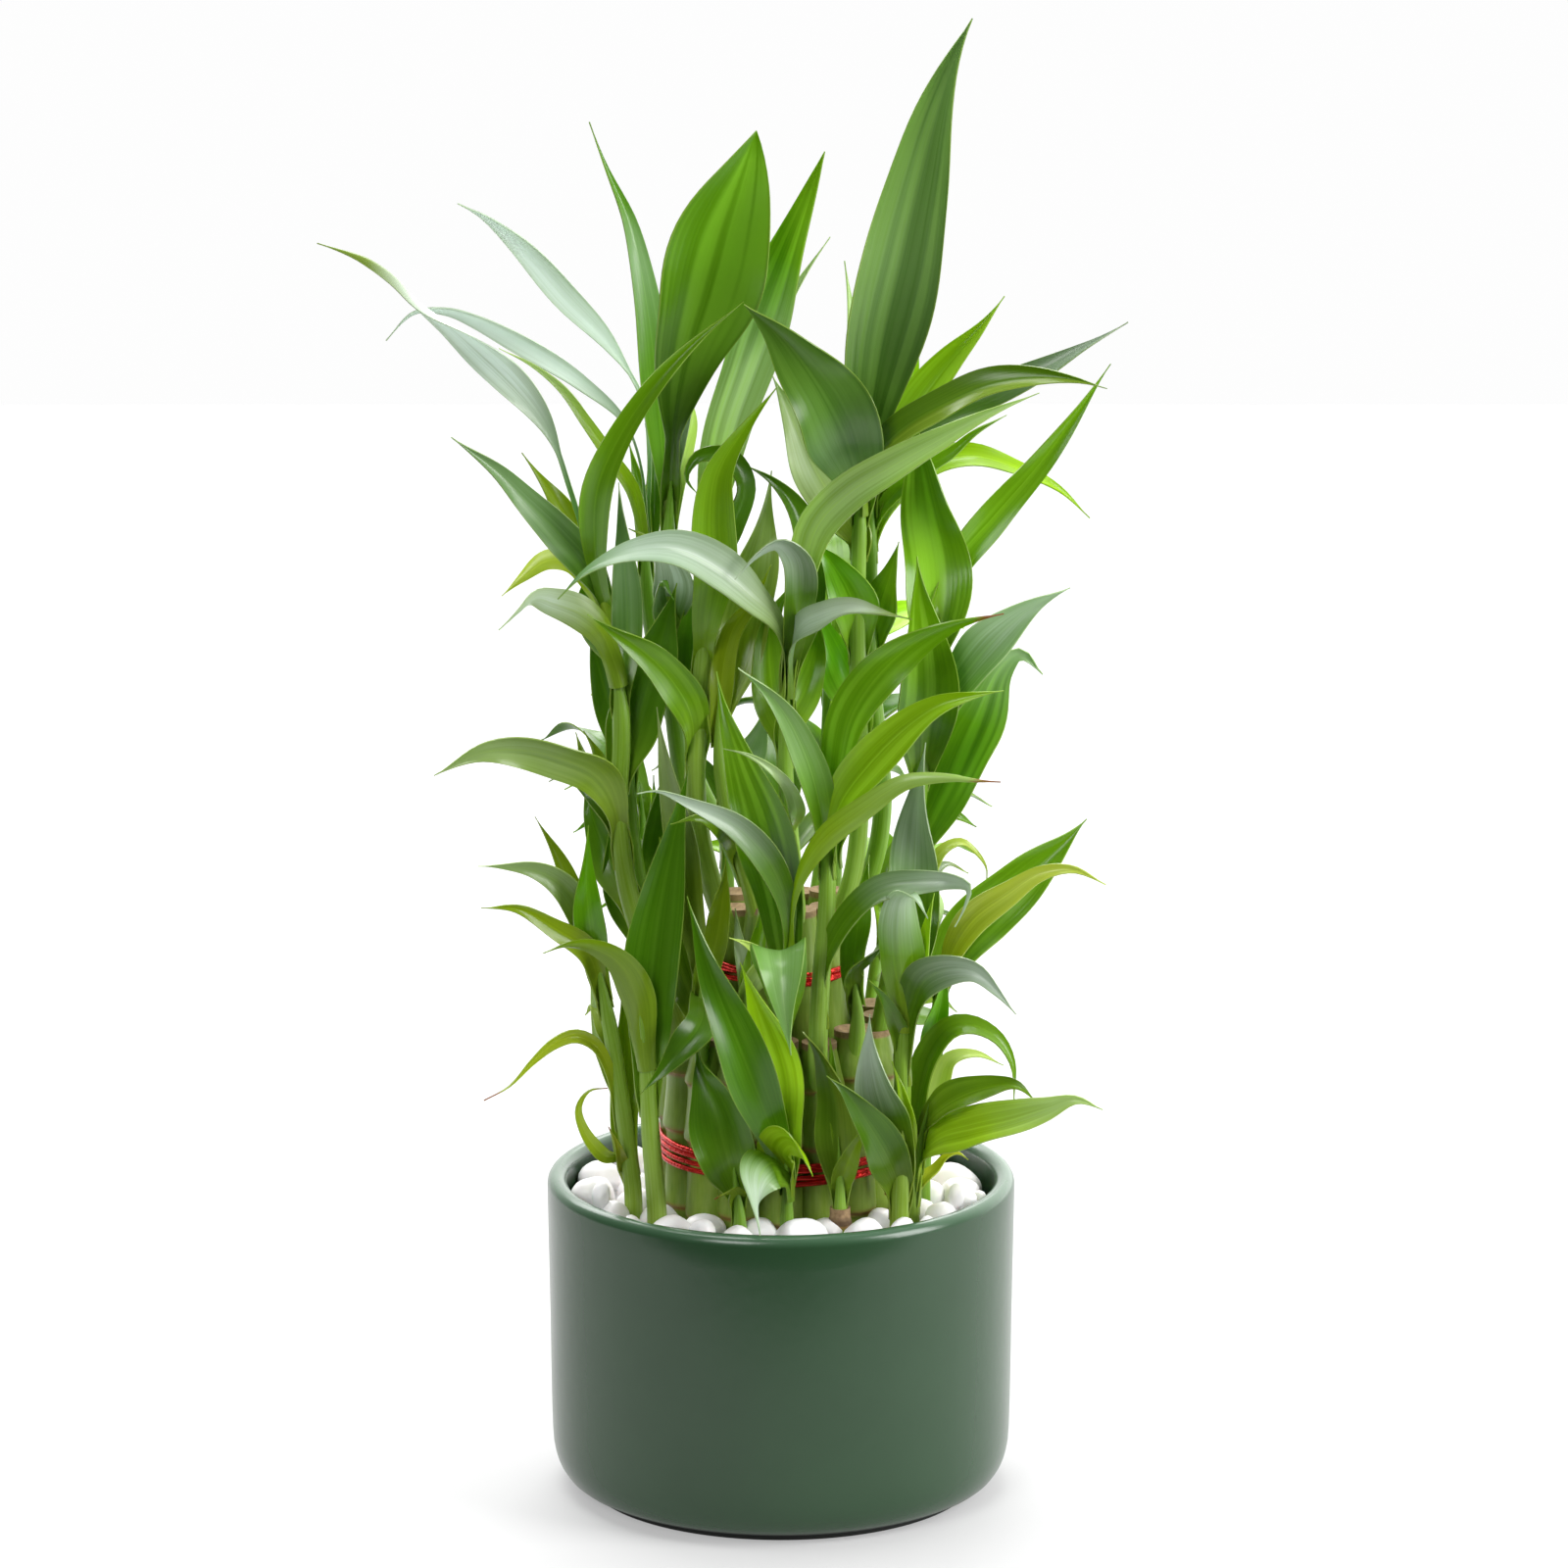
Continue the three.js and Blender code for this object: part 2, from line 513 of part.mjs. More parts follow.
// Young stalks planted in the pebbles, from the left round the front to the right.
const plantedStalks = [
  {
    girth: 3.4,
    stem: [[-50, 101, -26], [-52.5, 122, -27], [-55.5, 143, -28], [-59, 163, -28], [-63, 184, -28]],
    blades: [
      blade(4.5, 20, 0, [-55, 128, -27.5], [-58, 142, -31], [-63, 151, -34], [-70, 154, -37],
        [-77, 151.5, -40], [-84, 145.5, -43], [-92, 137, -46], [-101, 132, -48]),
      blade(4.5, 10, 0, [-52.5, 112, -26.5], [-60, 114, -36], [-66, 121, -40], [-68.5, 130, -42],
        [-65, 135.5, -42], [-58, 136.5, -42]),
      blade(8, 0, 0, [-57, 143, -28], [-60, 155, -22], [-62.5, 165, -20], [-65, 174, -19]),
      blade(8, 15, 0, [-61, 170, -28], [-66, 183, -33], [-76, 190, -37], [-89, 197, -41],
        [-102, 197.5, -44]),
      blade(10, 15, 0, [-62, 175, -28], [-68, 197, -30], [-75, 206, -33], [-84, 210.5, -36],
        [-95, 211.5, -39], [-103, 211.5, -41]),
      blade(8, 5, 0, [-61.5, 173, -28], [-69, 198, -24], [-75, 214, -22], [-83.5, 229, -20]),
      blade(10, 0, 0, [-62, 176, -28], [-65, 195, -33], [-66, 210, -35], [-65, 226, -36]),
      blade(4, 10, 0, [-52.5, 108, -27], [-55, 116, -34], [-58.5, 124, -37]),
      blade(6, 0, 0, [-59, 156, -28], [-63, 164, -19], [-66.5, 161, -14]),
    ],
  },
  {
    girth: 3.8,
    stem: [[-42, 95, -45], [-44, 120, -45], [-45.5, 145, -45], [-48, 164, -46]],
    blades: [
      blade(11, 165, 0, [-46.5, 152, -45], [-49, 168, -47], [-55, 179, -51], [-64, 184, -54],
        [-73, 184.5, -57], [-81, 182, -60]),
      blade(18, -5, 0, [-44.8, 134, -45], [-44.5, 155, -40], [-43.5, 177, -39],
        [-40.5, 200, -38], [-36, 222, -38], [-31, 246, -38]),
    ],
  },
  {
    girth: 2.9,
    stem: [[-14, 93, -50], [-15.5, 106, -50.5], [-16, 114, -50.5]],
    blades: [
      blade(20, -5, 0, [-15.5, 104, -50.5], [-18.5, 114, -51], [-21, 124, -50], [-25, 138, -46],
        [-29, 152, -42]),
      blade(6, 30, 0, [-14.5, 98, -50], [-16, 102, -57], [-19, 101, -61], [-23, 98.5, -63]),
    ],
  },
  {
    girth: 2.9,
    stem: [[2, 94, -50], [2, 106, -50.5], [1.5, 118, -50.5]],
    blades: [
      blade(16, 180, 0, [1.8, 106, -50.5], [-3, 111, -58], [-7, 107, -68], [-8, 98, -76],
        [-7, 86, -83]),
      blade(15, -30, 0, [1.8, 108, -50.5], [-1, 116, -55], [3, 119, -61], [8, 114, -65],
        [11, 106, -68]),
      blade(17, 0, 0, [1.6, 108, -50], [0, 122, -49.5], [-1, 138, -49], [-5, 155, -48],
        [-10, 169, -48], [-14, 179.5, -49]),
      blade(16, -5, 0, [1.5, 108, -50.5], [-6, 130, -56], [-14, 150, -58], [-20, 165, -58],
        [-26, 182, -57], [-32, 202, -55]),
    ],
  },
  {
    stub: true,
    girth: 2.8,
    stem: [[20, 95, -47], [20, 108, -47], [19.5, 120, -47]],
    blades: [
      blade(14, -5, 0, [20, 104, -47], [19, 120, -46], [18, 134, -46], [14, 147, -47],
        [7, 156, -49]),
      blade(7, 0, 0, [20, 102, -47], [23, 112, -50], [27, 120, -51], [31, 126, -52]),
      blade(4.5, 0, 0, [19.6, 116, -47], [17.5, 138, -44.5], [16.5, 156, -46]),
    ],
  },
  {
    girth: 3.6,
    stem: [[40, 95, -43], [40.5, 110, -43], [41, 130, -43], [41.5, 150, -43], [42.5, 168, -43],
      [42, 180, -44]],
    blades: [
      blade(15, 180, 0, [42.3, 166, -43.5], [40.5, 180, -48], [40, 192, -52], [41.5, 201, -58],
        [46, 200, -65], [50, 193.5, -70]),
      blade(7, -10, 0, [42, 158, -43], [46, 175, -46], [49, 190, -47], [52, 203, -48]),
      blade(13, -35, 0, [41.5, 148, -43], [45, 164, -47], [49, 173, -51], [57, 176.5, -56],
        [66, 175.5, -60], [73, 169, -64], [80, 161, -68]),
      blade(18, 0, 0, [42.3, 168, -43], [43.5, 195, -38], [45, 215, -36], [46.5, 235, -35],
        [49, 254, -34]),
      blade(6, 10, 0, [41.2, 150, -44], [36, 165, -50], [29, 174, -54]),
      blade(14, 5, 0, [40, 102, -44], [36, 113, -51], [29, 125, -57], [22, 135, -61],
        [15, 141, -64]),
      blade(16, -10, 0, [40.3, 108, -43.5], [36, 124, -48], [32, 138, -51], [30, 150, -52],
        [30, 162, -53]),
      blade(5.5, 0, 0, [40.3, 106, -44], [43.5, 122, -48], [40.5, 136, -51], [37.5, 146, -54]),
    ],
  },
  {
    girth: 3,
    stem: [[44.5, 98, -33], [46, 110, -33.5], [48, 122, -34], [50, 131, -34]],
    blades: [
      blade(12, -35, 0, [49, 125, -34], [54, 129.5, -38], [62, 134, -42], [72, 137, -46],
        [80, 137, -50], [87, 131.5, -54]),
      blade(15, -25, 0.05, [46.5, 112, -34], [54, 119.5, -41], [65, 122.5, -48],
        [78, 125.5, -53], [90, 129.5, -57], [100, 132.5, -60], [109.5, 129, -62]),
      blade(11, -45, 0, [45.5, 106, -33], [47, 132, -26], [51.5, 148, -25], [58, 156.5, -25],
        [65, 157.5, -25], [73, 153.5, -26], [78, 145, -28], [79, 130, -29]),
      blade(8, -35, 0, [47, 116, -33], [53, 135, -21], [57, 146, -18], [66, 148, -16],
        [76, 144, -15]),
      blade(4.5, -30, 0, [45.2, 103, -33], [52, 109, -29], [56, 113.5, -28], [60, 114.5, -28],
        [64, 112, -28]),
    ],
  },
  {
    girth: 3,
    stem: [[48, 104, -9], [49, 125, -10], [50.5, 145, -11], [53, 162, -12], [56, 180, -13]],
    blades: [
      blade(20, -20, 0, [55, 174, -13], [61, 185, -12], [70, 195, -9], [82, 206, -6],
        [93, 217, -3], [104, 228, -1]),
      blade(10, -20, 0.05, [54.5, 170, -13], [59, 184, -22], [66, 194, -27], [77, 202, -30],
        [88, 209, -32], [99, 210.5, -34], [110.5, 205, -36]),
      blade(8, 0, 0, [50.3, 142, -11], [52, 155, -18], [54.5, 168, -20], [56, 181, -21]),
    ],
  },
];

// The stalks behind follow a rule: a shoot leans outward from its cane, and its blades arch away
// one above the other, turned to one side and the other. A blade's row holds how far it is turned
// from its shoot, its reach and its width.
const backStem = ({ lean, rise }) => [
  [0, 0],
  [0.65 * lean, 12],
  [lean, 32],
  [lean + 4, 0.6 * rise],
  [lean + 7, rise],
];
const backRoot = ({ lean, rise }, order) => [lean + 6 - 2 * order, rise * (0.93 - 0.2 * order)];
const backShootDrop = 20;
const backNeck = 0.05;
const arch = { stops: [0, 0.2, 0.45, 0.7, 1], rise: 1.5, sag: 1.15 };
const backShoots = [
  { tier: "outer", cane: 5, turn: 26, rise: 100, lean: 12,
    blades: [[10, 32, 15], [-35, 22, 13], [20, 34, 12]] },
  { tier: "outer", cane: 6, turn: 50, rise: 62, lean: 15,
    blades: [[-5, 52, 14], [45, 44, 12], [-50, 30, 11]] },
  { tier: "outer", cane: 7, turn: 72, rise: 124, lean: 16,
    blades: [[10, 66, 17], [-50, 50, 13], [-20, 44, 14]] },
  { tier: "outer", cane: 8, turn: 90, rise: 76, lean: 15,
    blades: [[0, 62, 15], [-50, 44, 12], [50, 44, 12]] },
  { tier: "outer", cane: 9, turn: 108, rise: 134, lean: 16,
    blades: [[-12, 66, 17], [48, 52, 13], [20, 44, 14]] },
  { tier: "outer", cane: 10, turn: 132, rise: 66, lean: 15,
    blades: [[5, 52, 14], [-45, 44, 12], [50, 30, 11]] },
  { tier: "outer", cane: 11, turn: 154, rise: 98, lean: 12,
    blades: [[-10, 44, 15], [30, 26, 13], [-35, 46, 12]] },
  { tier: "inner", cane: 3, turn: 68, rise: 112, lean: 22,
    blades: [[25, 60, 18], [-40, 54, 16], [95, 40, 15]] },
];

function onRing(tier, index) {
  const turn = -Math.PI / 2 + ((index + tier.shifted) * 2 * Math.PI) / tier.count;
  return [tier.ring * Math.cos(turn), tier.ring * Math.sin(turn)];
}

function bladesOf(rows) {
  return rows.map((row) =>
    bladeSolid({ ...row, spine: row.spine.map(seen), facing: towardsEye }),
  );
}

// Tops differ by a few millimetres, as canes cut by hand do.
const topDrop = (index) => caneUneven.drop * (1 + Math.sin(index * caneUneven.beat));

function tracedStalk(tier, index, shoot) {
  const [x, y] = onRing(tier, index);
  const cane = caneSolid(x, y, tier, topDrop(index));
  if (!shoot) return cane;
  const start = new THREE.Vector3(x, y, shoot.height);
  const stem = stemSolid([start, ...shoot.stem.map(seen)], shootGirth);
  return joined([cane, stem, ...bladesOf(shoot.blades)]);
}

function heading(degrees) {
  const angle = THREE.MathUtils.degToRad(degrees);
  return new THREE.Vector3(Math.cos(angle), Math.sin(angle), 0);
}

function backStalk(tier, row) {
  const [x, y] = onRing(tier, row.cane);
  const drop = topDrop(row.cane);
  const start = new THREE.Vector3(x, y, tier.top - backShootDrop - drop);
  const out = heading(row.turn);
  const place = ([outward, up]) =>
    start.clone().addScaledVector(out, outward).addScaledVector(skyward, up);
  const leaves = row.blades.map(([side, reach, width], order) => {
    const root = place(backRoot(row, order));
    const way = heading(row.turn + side);
    const spine = arch.stops.map((share) =>
      root
        .clone()
        .addScaledVector(way, reach * share)
        .addScaledVector(skyward, reach * (arch.rise * share - arch.sag * share * share)),
    );
    return bladeSolid({ width, roll: 0, neck: backNeck, spine, facing: skyward });
  });
  const stem = stemSolid(backStem(row).map(place), shootGirth);
  return joined([caneSolid(x, y, tier, drop), stem, ...leaves]);
}

function plantedStalk({ stem, blades, stub, girth }) {
  const path = stem.map(seen);
  const { x, y } = path[0];
  const roots = [rootDepth, soilTop].map((height) => new THREE.Vector3(x, y, height));
  const pieces = [stemSolid([...roots, ...path], girth), ...bladesOf(blades)];
  if (stub) pieces.push(cylinder(x, y, rootDepth, stubCane.top, stubCane.radius, 8));
  return joined(pieces);
}

// Where every stalk stands, with the radius of its hole.
function standing() {
  const places = [];
  for (const tier of [outerCane, innerCane]) {
    for (let i = 0; i < tier.count; i++) places.push([...onRing(tier, i), tier.radius, caneFoot]);
  }
  for (const { stem, stub, girth } of plantedStalks) {
    const { x, y } = seen(stem[0]);
    places.push([x, y, stub ? stubCane.radius : girth, rootDepth]);
  }
  return places;
}

// The pot: a rolled rim, a slightly tapered wall, a rounded lower edge and a narrower foot.
function potSolid() {
  const middle = potRadius - rimRadius;
  const profile = [
    [0, 0],
    [footRadius, 0],
    [footRadius, footHeight],
    ...lowerEdge,
  ];
  for (const turn of [0, 45, 90, 135, 180]) {
    const angle = THREE.MathUtils.degToRad(turn);
    profile.push([
      middle + rimRadius * Math.cos(angle),
      potHeight - rimRadius + rimRadius * Math.sin(angle),
    ]);
  }
  return lathed([...profile, ...innerWall], turned);
}

// The growing medium fills the pot up to the pebbles, with a plain hole for each stalk.
function soilSolid() {
  const [wall, bend, floor] = innerWall.map(([radius, height]) => [
    radius - 3 * clearance,
    height + clearance,
  ]);
  const heap = lathed([[0, floor[1]], floor, bend, wall, [soilBrim, soilTop], [0, soilTop]], rough);
  const holes = standing().map(([x, y, radius, foot]) =>
    cylinder(x, y, foot - clearance, soilTop + through, radius + holePlay, 8),
  );
  return heap.subtract(wasm.Manifold.union(holes));
}

// Pebbles lie two deep between the wall and the canes, each turned and sized a little otherwise.
function pebbleSolid() {
  let state = 7;
  const random = () => {
    state = (state * 16807) % 2147483647;
    return state / 2147483647;
  };
  const { inside, outside, low, high, rows, tall, sunk, heaped } = pebbleBed;
  const { uneven, long, broad, shifted } = pebbleBed;
  const bed = [[inside, low], [outside, low], [outside, high], [inside, high], [inside, low]];
  const stones = [lathed(bed, rough)];
  for (const { ring, count, size } of rows) {
    for (let i = 0; i < count; i++) {
      const turn = ((i + shifted * random()) * 2 * Math.PI) / count;
      const stone = new THREE.IcosahedronGeometry(1);
      stone.rotateX(random() * Math.PI);
      stone.scale(size * (long + uneven * random()), size * (broad + uneven * random()), tall);
      stone.rotateZ(random() * Math.PI);
      const height = pebbleTop - sunk + heaped * random();
      stone.translate(ring * Math.cos(turn), ring * Math.sin(turn), height);
      stones.push(solidOf(stone));
    }
  }
  const holes = standing()
    .slice(outerCane.count + innerCane.count)
    .map(([x, y, radius]) =>
      cylinder(x, y, soilTop - through, pebbleTop + through, radius + 2 * clearance, 6),
    );
  return joined([joined(stones).subtract(wasm.Manifold.union(holes))]);
}

// Foil-covered wire wound close round a tier: its strands press together into one ribbed band.
function tieSolid(inner, low, turns) {
  const profile = [[inner, low + bandEase]];
  for (let i = 0; i < turns; i++) {
    const base = low + 2 * wire.radius * i;
    profile.push([inner + wire.radius, base], [inner + 2 * wire.radius, base + wire.radius]);
  }
  const high = low + 2 * wire.radius * turns;
  profile.push([inner + wire.radius, high], [inner, high - bandEase], [inner, low + bandEase]);
  return lathed(profile, rough);
}

function lowerTie() {
  const inner = outerCane.ring + outerCane.radius + clearance;
  const band = tieSolid(inner, wire.lowerHeight, wire.lowerTurns);
  return joined([band, stemSolid(wireTail.path.map(seen), wireTail.radius)]);
}

const glaze = new THREE.MeshStandardMaterial({ color: 0x47594a, roughness: 0.35, metalness: 0 });
const soil = new THREE.MeshStandardMaterial({ color: 0x3b2c20, roughness: 0.95, metalness: 0 });
const marble = new THREE.MeshStandardMaterial({ color: 0xe6e2e0, roughness: 0.45, metalness: 0 });
const redFoil = new THREE.MeshStandardMaterial({ color: 0xb5141a, roughness: 0.25, metalness: 0.8 });
const caneGreen = new THREE.MeshStandardMaterial({ color: 0x4f7a1e, roughness: 0.5, metalness: 0 });
const leafGreen = new THREE.MeshStandardMaterial({ color: 0x3f7a22, roughness: 0.4, metalness: 0 });

const plant = new THREE.Group();
plant.add(meshOf("pot", potSolid(), glaze));
plant.add(meshOf("growing_medium", soilSolid(), soil));
plant.add(meshOf("white_pebbles", pebbleSolid(), marble));
plant.add(meshOf("lower_tie", lowerTie(), redFoil));
const upperInner = innerCane.ring + innerCane.radius + clearance;
plant.add(meshOf("upper_tie", tieSolid(upperInner, wire.upperHeight, wire.upperTurns), redFoil));
for (const [tierName, tier, shoots] of [
  ["outer", outerCane, outerShoots],
  ["inner", innerCane, innerShoots],
]) {
  for (let i = 0; i < tier.count; i++) {
    const behind = backShoots.find((row) => row.tier === tierName && row.cane === i);
    const solid = behind ? backStalk(tier, behind) : tracedStalk(tier, i, shoots[i]);
    const green = behind || shoots[i] ? leafGreen : caneGreen;
    plant.add(meshOf(`${tierName}_stalk_${i + 1}`, solid, green));
  }
}
plantedStalks.forEach((row, i) => {
  plant.add(meshOf(`planted_stalk_${i + 1}`, plantedStalk(row), leafGreen));
});

export default plant;
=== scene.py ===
"""Lucky bamboo in a glazed pot: cut canes tied in two tiers, with their leafy shoots, and younger
stalks planted round them in white pebbles. Sizes are millimetres unless a name says otherwise."""
import math

import bpy
import numpy as np
from mathutils import Matrix, Quaternion, Vector


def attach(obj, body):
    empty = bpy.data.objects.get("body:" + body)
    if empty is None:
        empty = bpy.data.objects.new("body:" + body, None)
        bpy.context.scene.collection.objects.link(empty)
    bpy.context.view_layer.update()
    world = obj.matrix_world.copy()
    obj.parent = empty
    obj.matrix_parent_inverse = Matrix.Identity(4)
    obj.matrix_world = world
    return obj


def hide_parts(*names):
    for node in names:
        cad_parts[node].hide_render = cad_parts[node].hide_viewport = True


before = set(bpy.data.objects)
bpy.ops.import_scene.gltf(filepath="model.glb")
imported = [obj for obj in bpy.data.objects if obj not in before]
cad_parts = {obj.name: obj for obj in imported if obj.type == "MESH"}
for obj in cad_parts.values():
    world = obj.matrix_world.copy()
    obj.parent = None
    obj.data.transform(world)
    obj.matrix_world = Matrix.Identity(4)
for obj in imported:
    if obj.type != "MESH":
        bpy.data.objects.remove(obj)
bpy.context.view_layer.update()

MM = 0.001

# Camera, white studio and floor
# The view looks down on the plant by 13.25 degrees from 2.5 m. The floor is a plain white sweep,
# and the white room lights it from all round, a little more from above, behind and the right. The floor
# also glows by itself, less near the pot: painted light, with painted shade round the pot.
eye_tilt = math.radians(13.25)
eye_distance = 2500
# The middle of the view: how far across, how high on the pot's axis, and that height as it is read
# in the picture.
eye_across, eye_aim, eye_level = 1, 246.2, 239.4
eye_place = (1.05, -eye_distance * math.cos(eye_tilt), 819.2)
bpy.ops.object.camera_add(
    location=[part * MM for part in eye_place], rotation=(math.pi / 2 - eye_tilt, 0, 0)
)
camera = bpy.context.object
camera.data.lens = 169.65
camera.data.clip_start, camera.data.clip_end = 0.05, 60
bpy.context.scene.camera = camera
bpy.context.scene.view_settings.view_transform = "Standard"


def node(tree, kind, settings=None, **inputs):
    """Adds a node, with its settings, and links or sets its inputs by name or by number."""
    made = tree.nodes.new("ShaderNode" + kind)
    for key, value in (settings or {}).items():
        setattr(made, key, value)
    for key, value in inputs.items():
        socket = made.inputs[int(key[1:]) if key[0] == "_" else key.replace("_", " ")]
        if isinstance(value, bpy.types.NodeSocket):
            tree.links.new(value, socket)
        else:
            socket.default_value = value
    return made


def arithmetic(tree, operation, *values):
    """What one step of arithmetic makes of numbers or sockets."""
    inputs = {f"_{place}": value for place, value in enumerate(values)}
    return node(tree, "Math", {"operation": operation}, **inputs).outputs[0]


def ranged(tree, value, given, wanted=(0, 1), settings=None):
    """A value carried over from a given range to a wanted one, and held at its ends."""
    ends = {"From_Min": given[0], "From_Max": given[1], "To_Min": wanted[0], "To_Max": wanted[1]}
    return node(tree, "MapRange", settings, Value=value, **ends).outputs[0]


def between(tree, share, first, second):
    """The number between two, by a share. Each is a number or a socket."""
    return node(tree, "Mix", {"data_type": "FLOAT"}, _0=share, _2=first, _3=second).outputs[0]


def new_material(name, colour, roughness, specular=0.5):
    """A material with its Principled shader set, and the shader and its tree."""
    made = bpy.data.materials.new(name)
    made.use_nodes = True
    shader = made.node_tree.nodes["Principled BSDF"]
    shader.inputs["Base Color"].default_value = colour
    shader.inputs["Roughness"].default_value = roughness
    shader.inputs["Specular IOR Level"].default_value = specular
    return made, shader, made.node_tree


room = bpy.data.worlds.new("white_room")
bpy.context.scene.world = room
room.use_nodes = True
tree = room.node_tree
tree.nodes.clear()
toward = node(tree, "SeparateXYZ", Vector=node(tree, "TexCoord").outputs["Generated"]).outputs
above = ranged(tree, toward["Z"], (-0.2, 0.9), (0.2, 0.6))
behind = ranged(tree, toward["Y"], (0, 0.9), (0, 1.9), {"interpolation_type": "SMOOTHSTEP"})
before = ranged(tree, toward["Y"], (-0.8, 0.2), (0.1, 1))
rightward = ranged(tree, toward["X"], (-1, 0.9), (0.21, 1.52))
glow = arithmetic(tree, "ADD", arithmetic(tree, "MULTIPLY", above, before), behind)
glow_across = arithmetic(tree, "MULTIPLY", glow, rightward)
# The camera itself sees the bare room in one plain white.
seen_bare, plain_white = node(tree, "LightPath").outputs["Is Camera Ray"], 0.985
strength = between(tree, seen_bare, glow_across, plain_white)
back = node(tree, "Background", Color=(1, 1, 1, 1), Strength=strength)
node(tree, "OutputWorld", Surface=back.outputs[0])


def softbox(name, place, aim, size, power):
    """An area light of the given size in metres, turned to its aim."""
    bpy.ops.object.light_add(type="AREA", location=place)
    lamp = bpy.context.object
    lamp.name = name
    lamp.rotation_mode = "QUATERNION"
    lamp.rotation_quaternion = (Vector(aim) - Vector(place)).to_track_quat("-Z", "Y")
    lamp.data.shape, lamp.data.size, lamp.data.size_y = "RECTANGLE", *size
    lamp.data.energy = power


softbox("top_softbox", (-0.2, 0.3, 2.1), (0, 0, 0.3), (1.5, 0.9), power=31)
softbox("back_softbox", (-0.4, 1.5, 1.5), (0, 0, 0.3), (2.0, 0.9), power=30)
softbox("right_softbox", (1.5, -0.6, 0.9), (0, 0, 0.2), (0.8, 1.3), power=36)
softbox("left_softbox", (-0.9, -1.9, 1.5), (0, 0, 0.25), (0.9, 1.1), power=25)

bpy.ops.mesh.primitive_plane_add(size=2.4, location=(0, 0.87, 0))
floor = bpy.context.object
floor.name = "studio_floor"
grey = (0.36, 0.36, 0.36, 1)
floor_white, shader, tree = new_material("floor_white", grey, roughness=0.9, specular=0.1)
shader.inputs["Emission Color"].default_value = (1, 1, 1, 1)
# The floor glows by itself, less near the pot and more further out: painted light, which leaves painted
# shade round the pot's foot.
spot = node(tree, "NewGeometry").outputs["Position"]
away = node(tree, "VectorMath", {"operation": "LENGTH"}, _0=spot).outputs["Value"]
painted_floor_glow = ranged(tree, away, (0.15, 1.1), (0.37, 0.51))
tree.links.new(painted_floor_glow, shader.inputs["Emission Strength"])
floor.data.materials.append(floor_white)

# Pot
# A thrown stoneware pot with straight walls, a rolled rim and a small recessed foot. It is glazed
# satin green inside and out, thinner on the rim, and the foot is left bare and dark. The dark colour also
# runs up over the curve of the glazed underside, as painted shade where the pot meets the floor.
pot_radius, pot_height, rim_radius, foot_radius = 80, 110, 3.4, 66.8
# Half the pot's outline as (radius, height): up the outside, over the rim and down to the bottom.
pot_profile = [
    (foot_radius, 0), (foot_radius + 0.4, 0.6), (foot_radius + 0.4, 2.4), (69.6, 2.7),
    (71.3, 3.1), (72.8, 3.9), (74.3, 5.1), (75.4, 6.6), (76.5, 8.4), (77.3, 10.4), (77.9, 12.6),
    (78.4, 15.4), (78.7, 20), (78.95, 30), (79.15, 45), (79.3, 60), (79.6, 80), (79.9, 98),
    *(
        (
            pot_radius - rim_radius * (1 - math.cos(math.radians(turn))),
            pot_height - rim_radius * (1 - math.sin(math.radians(turn))),
        )
        for turn in range(0, 181, 20)
    ),
    (73.0, 100), (72.8, 70), (72.6, 40), (71.6, 31), (69, 22), (65.5, 14), (60, 9.6), (54, 9),
    (20, 9), (0.6, 9),
]


def only(piece):
    """Selects this piece alone and makes it active."""
    bpy.ops.object.select_all(action="DESELECT")
    piece.select_set(True)
    bpy.context.view_layer.objects.active = piece


def shade_smooth(piece, degrees):
    """Shades smooth, apart from edges sharper than the angle."""
    only(piece)
    bpy.ops.object.shade_smooth_by_angle(angle=math.radians(degrees))


def place_in_mesh(piece):
    """Puts the piece's place, turn and scale into its mesh."""
    only(piece)
    bpy.ops.object.transform_apply(location=True, rotation=True, scale=True)


def turned_up(name, profile, segments):
    """A round piece raised from a disc: its face is extruded and sized from height to height."""
    radius, height = profile[0]
    bpy.ops.mesh.primitive_circle_add(
        vertices=segments, radius=radius * MM, fill_type="NGON", location=(0, 0, height * MM)
    )
    piece = bpy.context.object
    piece.name = name
    bpy.ops.object.mode_set(mode="EDIT")
    bpy.ops.mesh.select_all(action="SELECT")
    for wider, higher in profile[1:]:
        bpy.ops.mesh.extrude_region_move(
            TRANSFORM_OT_translate={"value": (0, 0, (higher - height) * MM)}
        )
        bpy.ops.transform.resize(value=(wider / radius, wider / radius, 1))
        radius, height = wider, higher
    bpy.ops.mesh.select_all(action="SELECT")
    bpy.ops.mesh.remove_doubles(threshold=1e-7)
    bpy.ops.mesh.normals_make_consistent(inside=False)
    bpy.ops.object.mode_set(mode="OBJECT")
    place_in_mesh(piece)
    return piece


def linear(red, green, blue, alpha=1.0):
    """A colour as read off a screen, from 0 to 255, as the light that it stands for."""
    share = [value / 255 for value in (red, green, blue)]
    return (*[v / 12.92 if v < 0.04 else ((v + 0.055) / 1.055) ** 2.4 for v in share], alpha)


def mixed(tree, share, first, second):
    """The colour between two, by a share that is a number or a socket."""
    return node(tree, "Mix", {"data_type": "RGBA"}, _0=share, _6=first, _7=second).outputs[2]


def noise(tree, place, scale, detail, distortion=0):
    """A cloudy pattern from 0 to 1."""
    inputs = {"Scale": scale, "Detail": detail, "Distortion": distortion}
    return node(tree, "TexNoise", Vector=place, **inputs).outputs["Fac"]


def embossed(tree, shader, pattern, strength, distance):
    """Makes a skin look raised where the pattern is light, by a distance in millimetres."""
    bump = node(tree, "Bump", Strength=strength, Distance=distance * MM, Height=pattern)
    tree.links.new(bump.outputs[0], shader.inputs["Normal"])


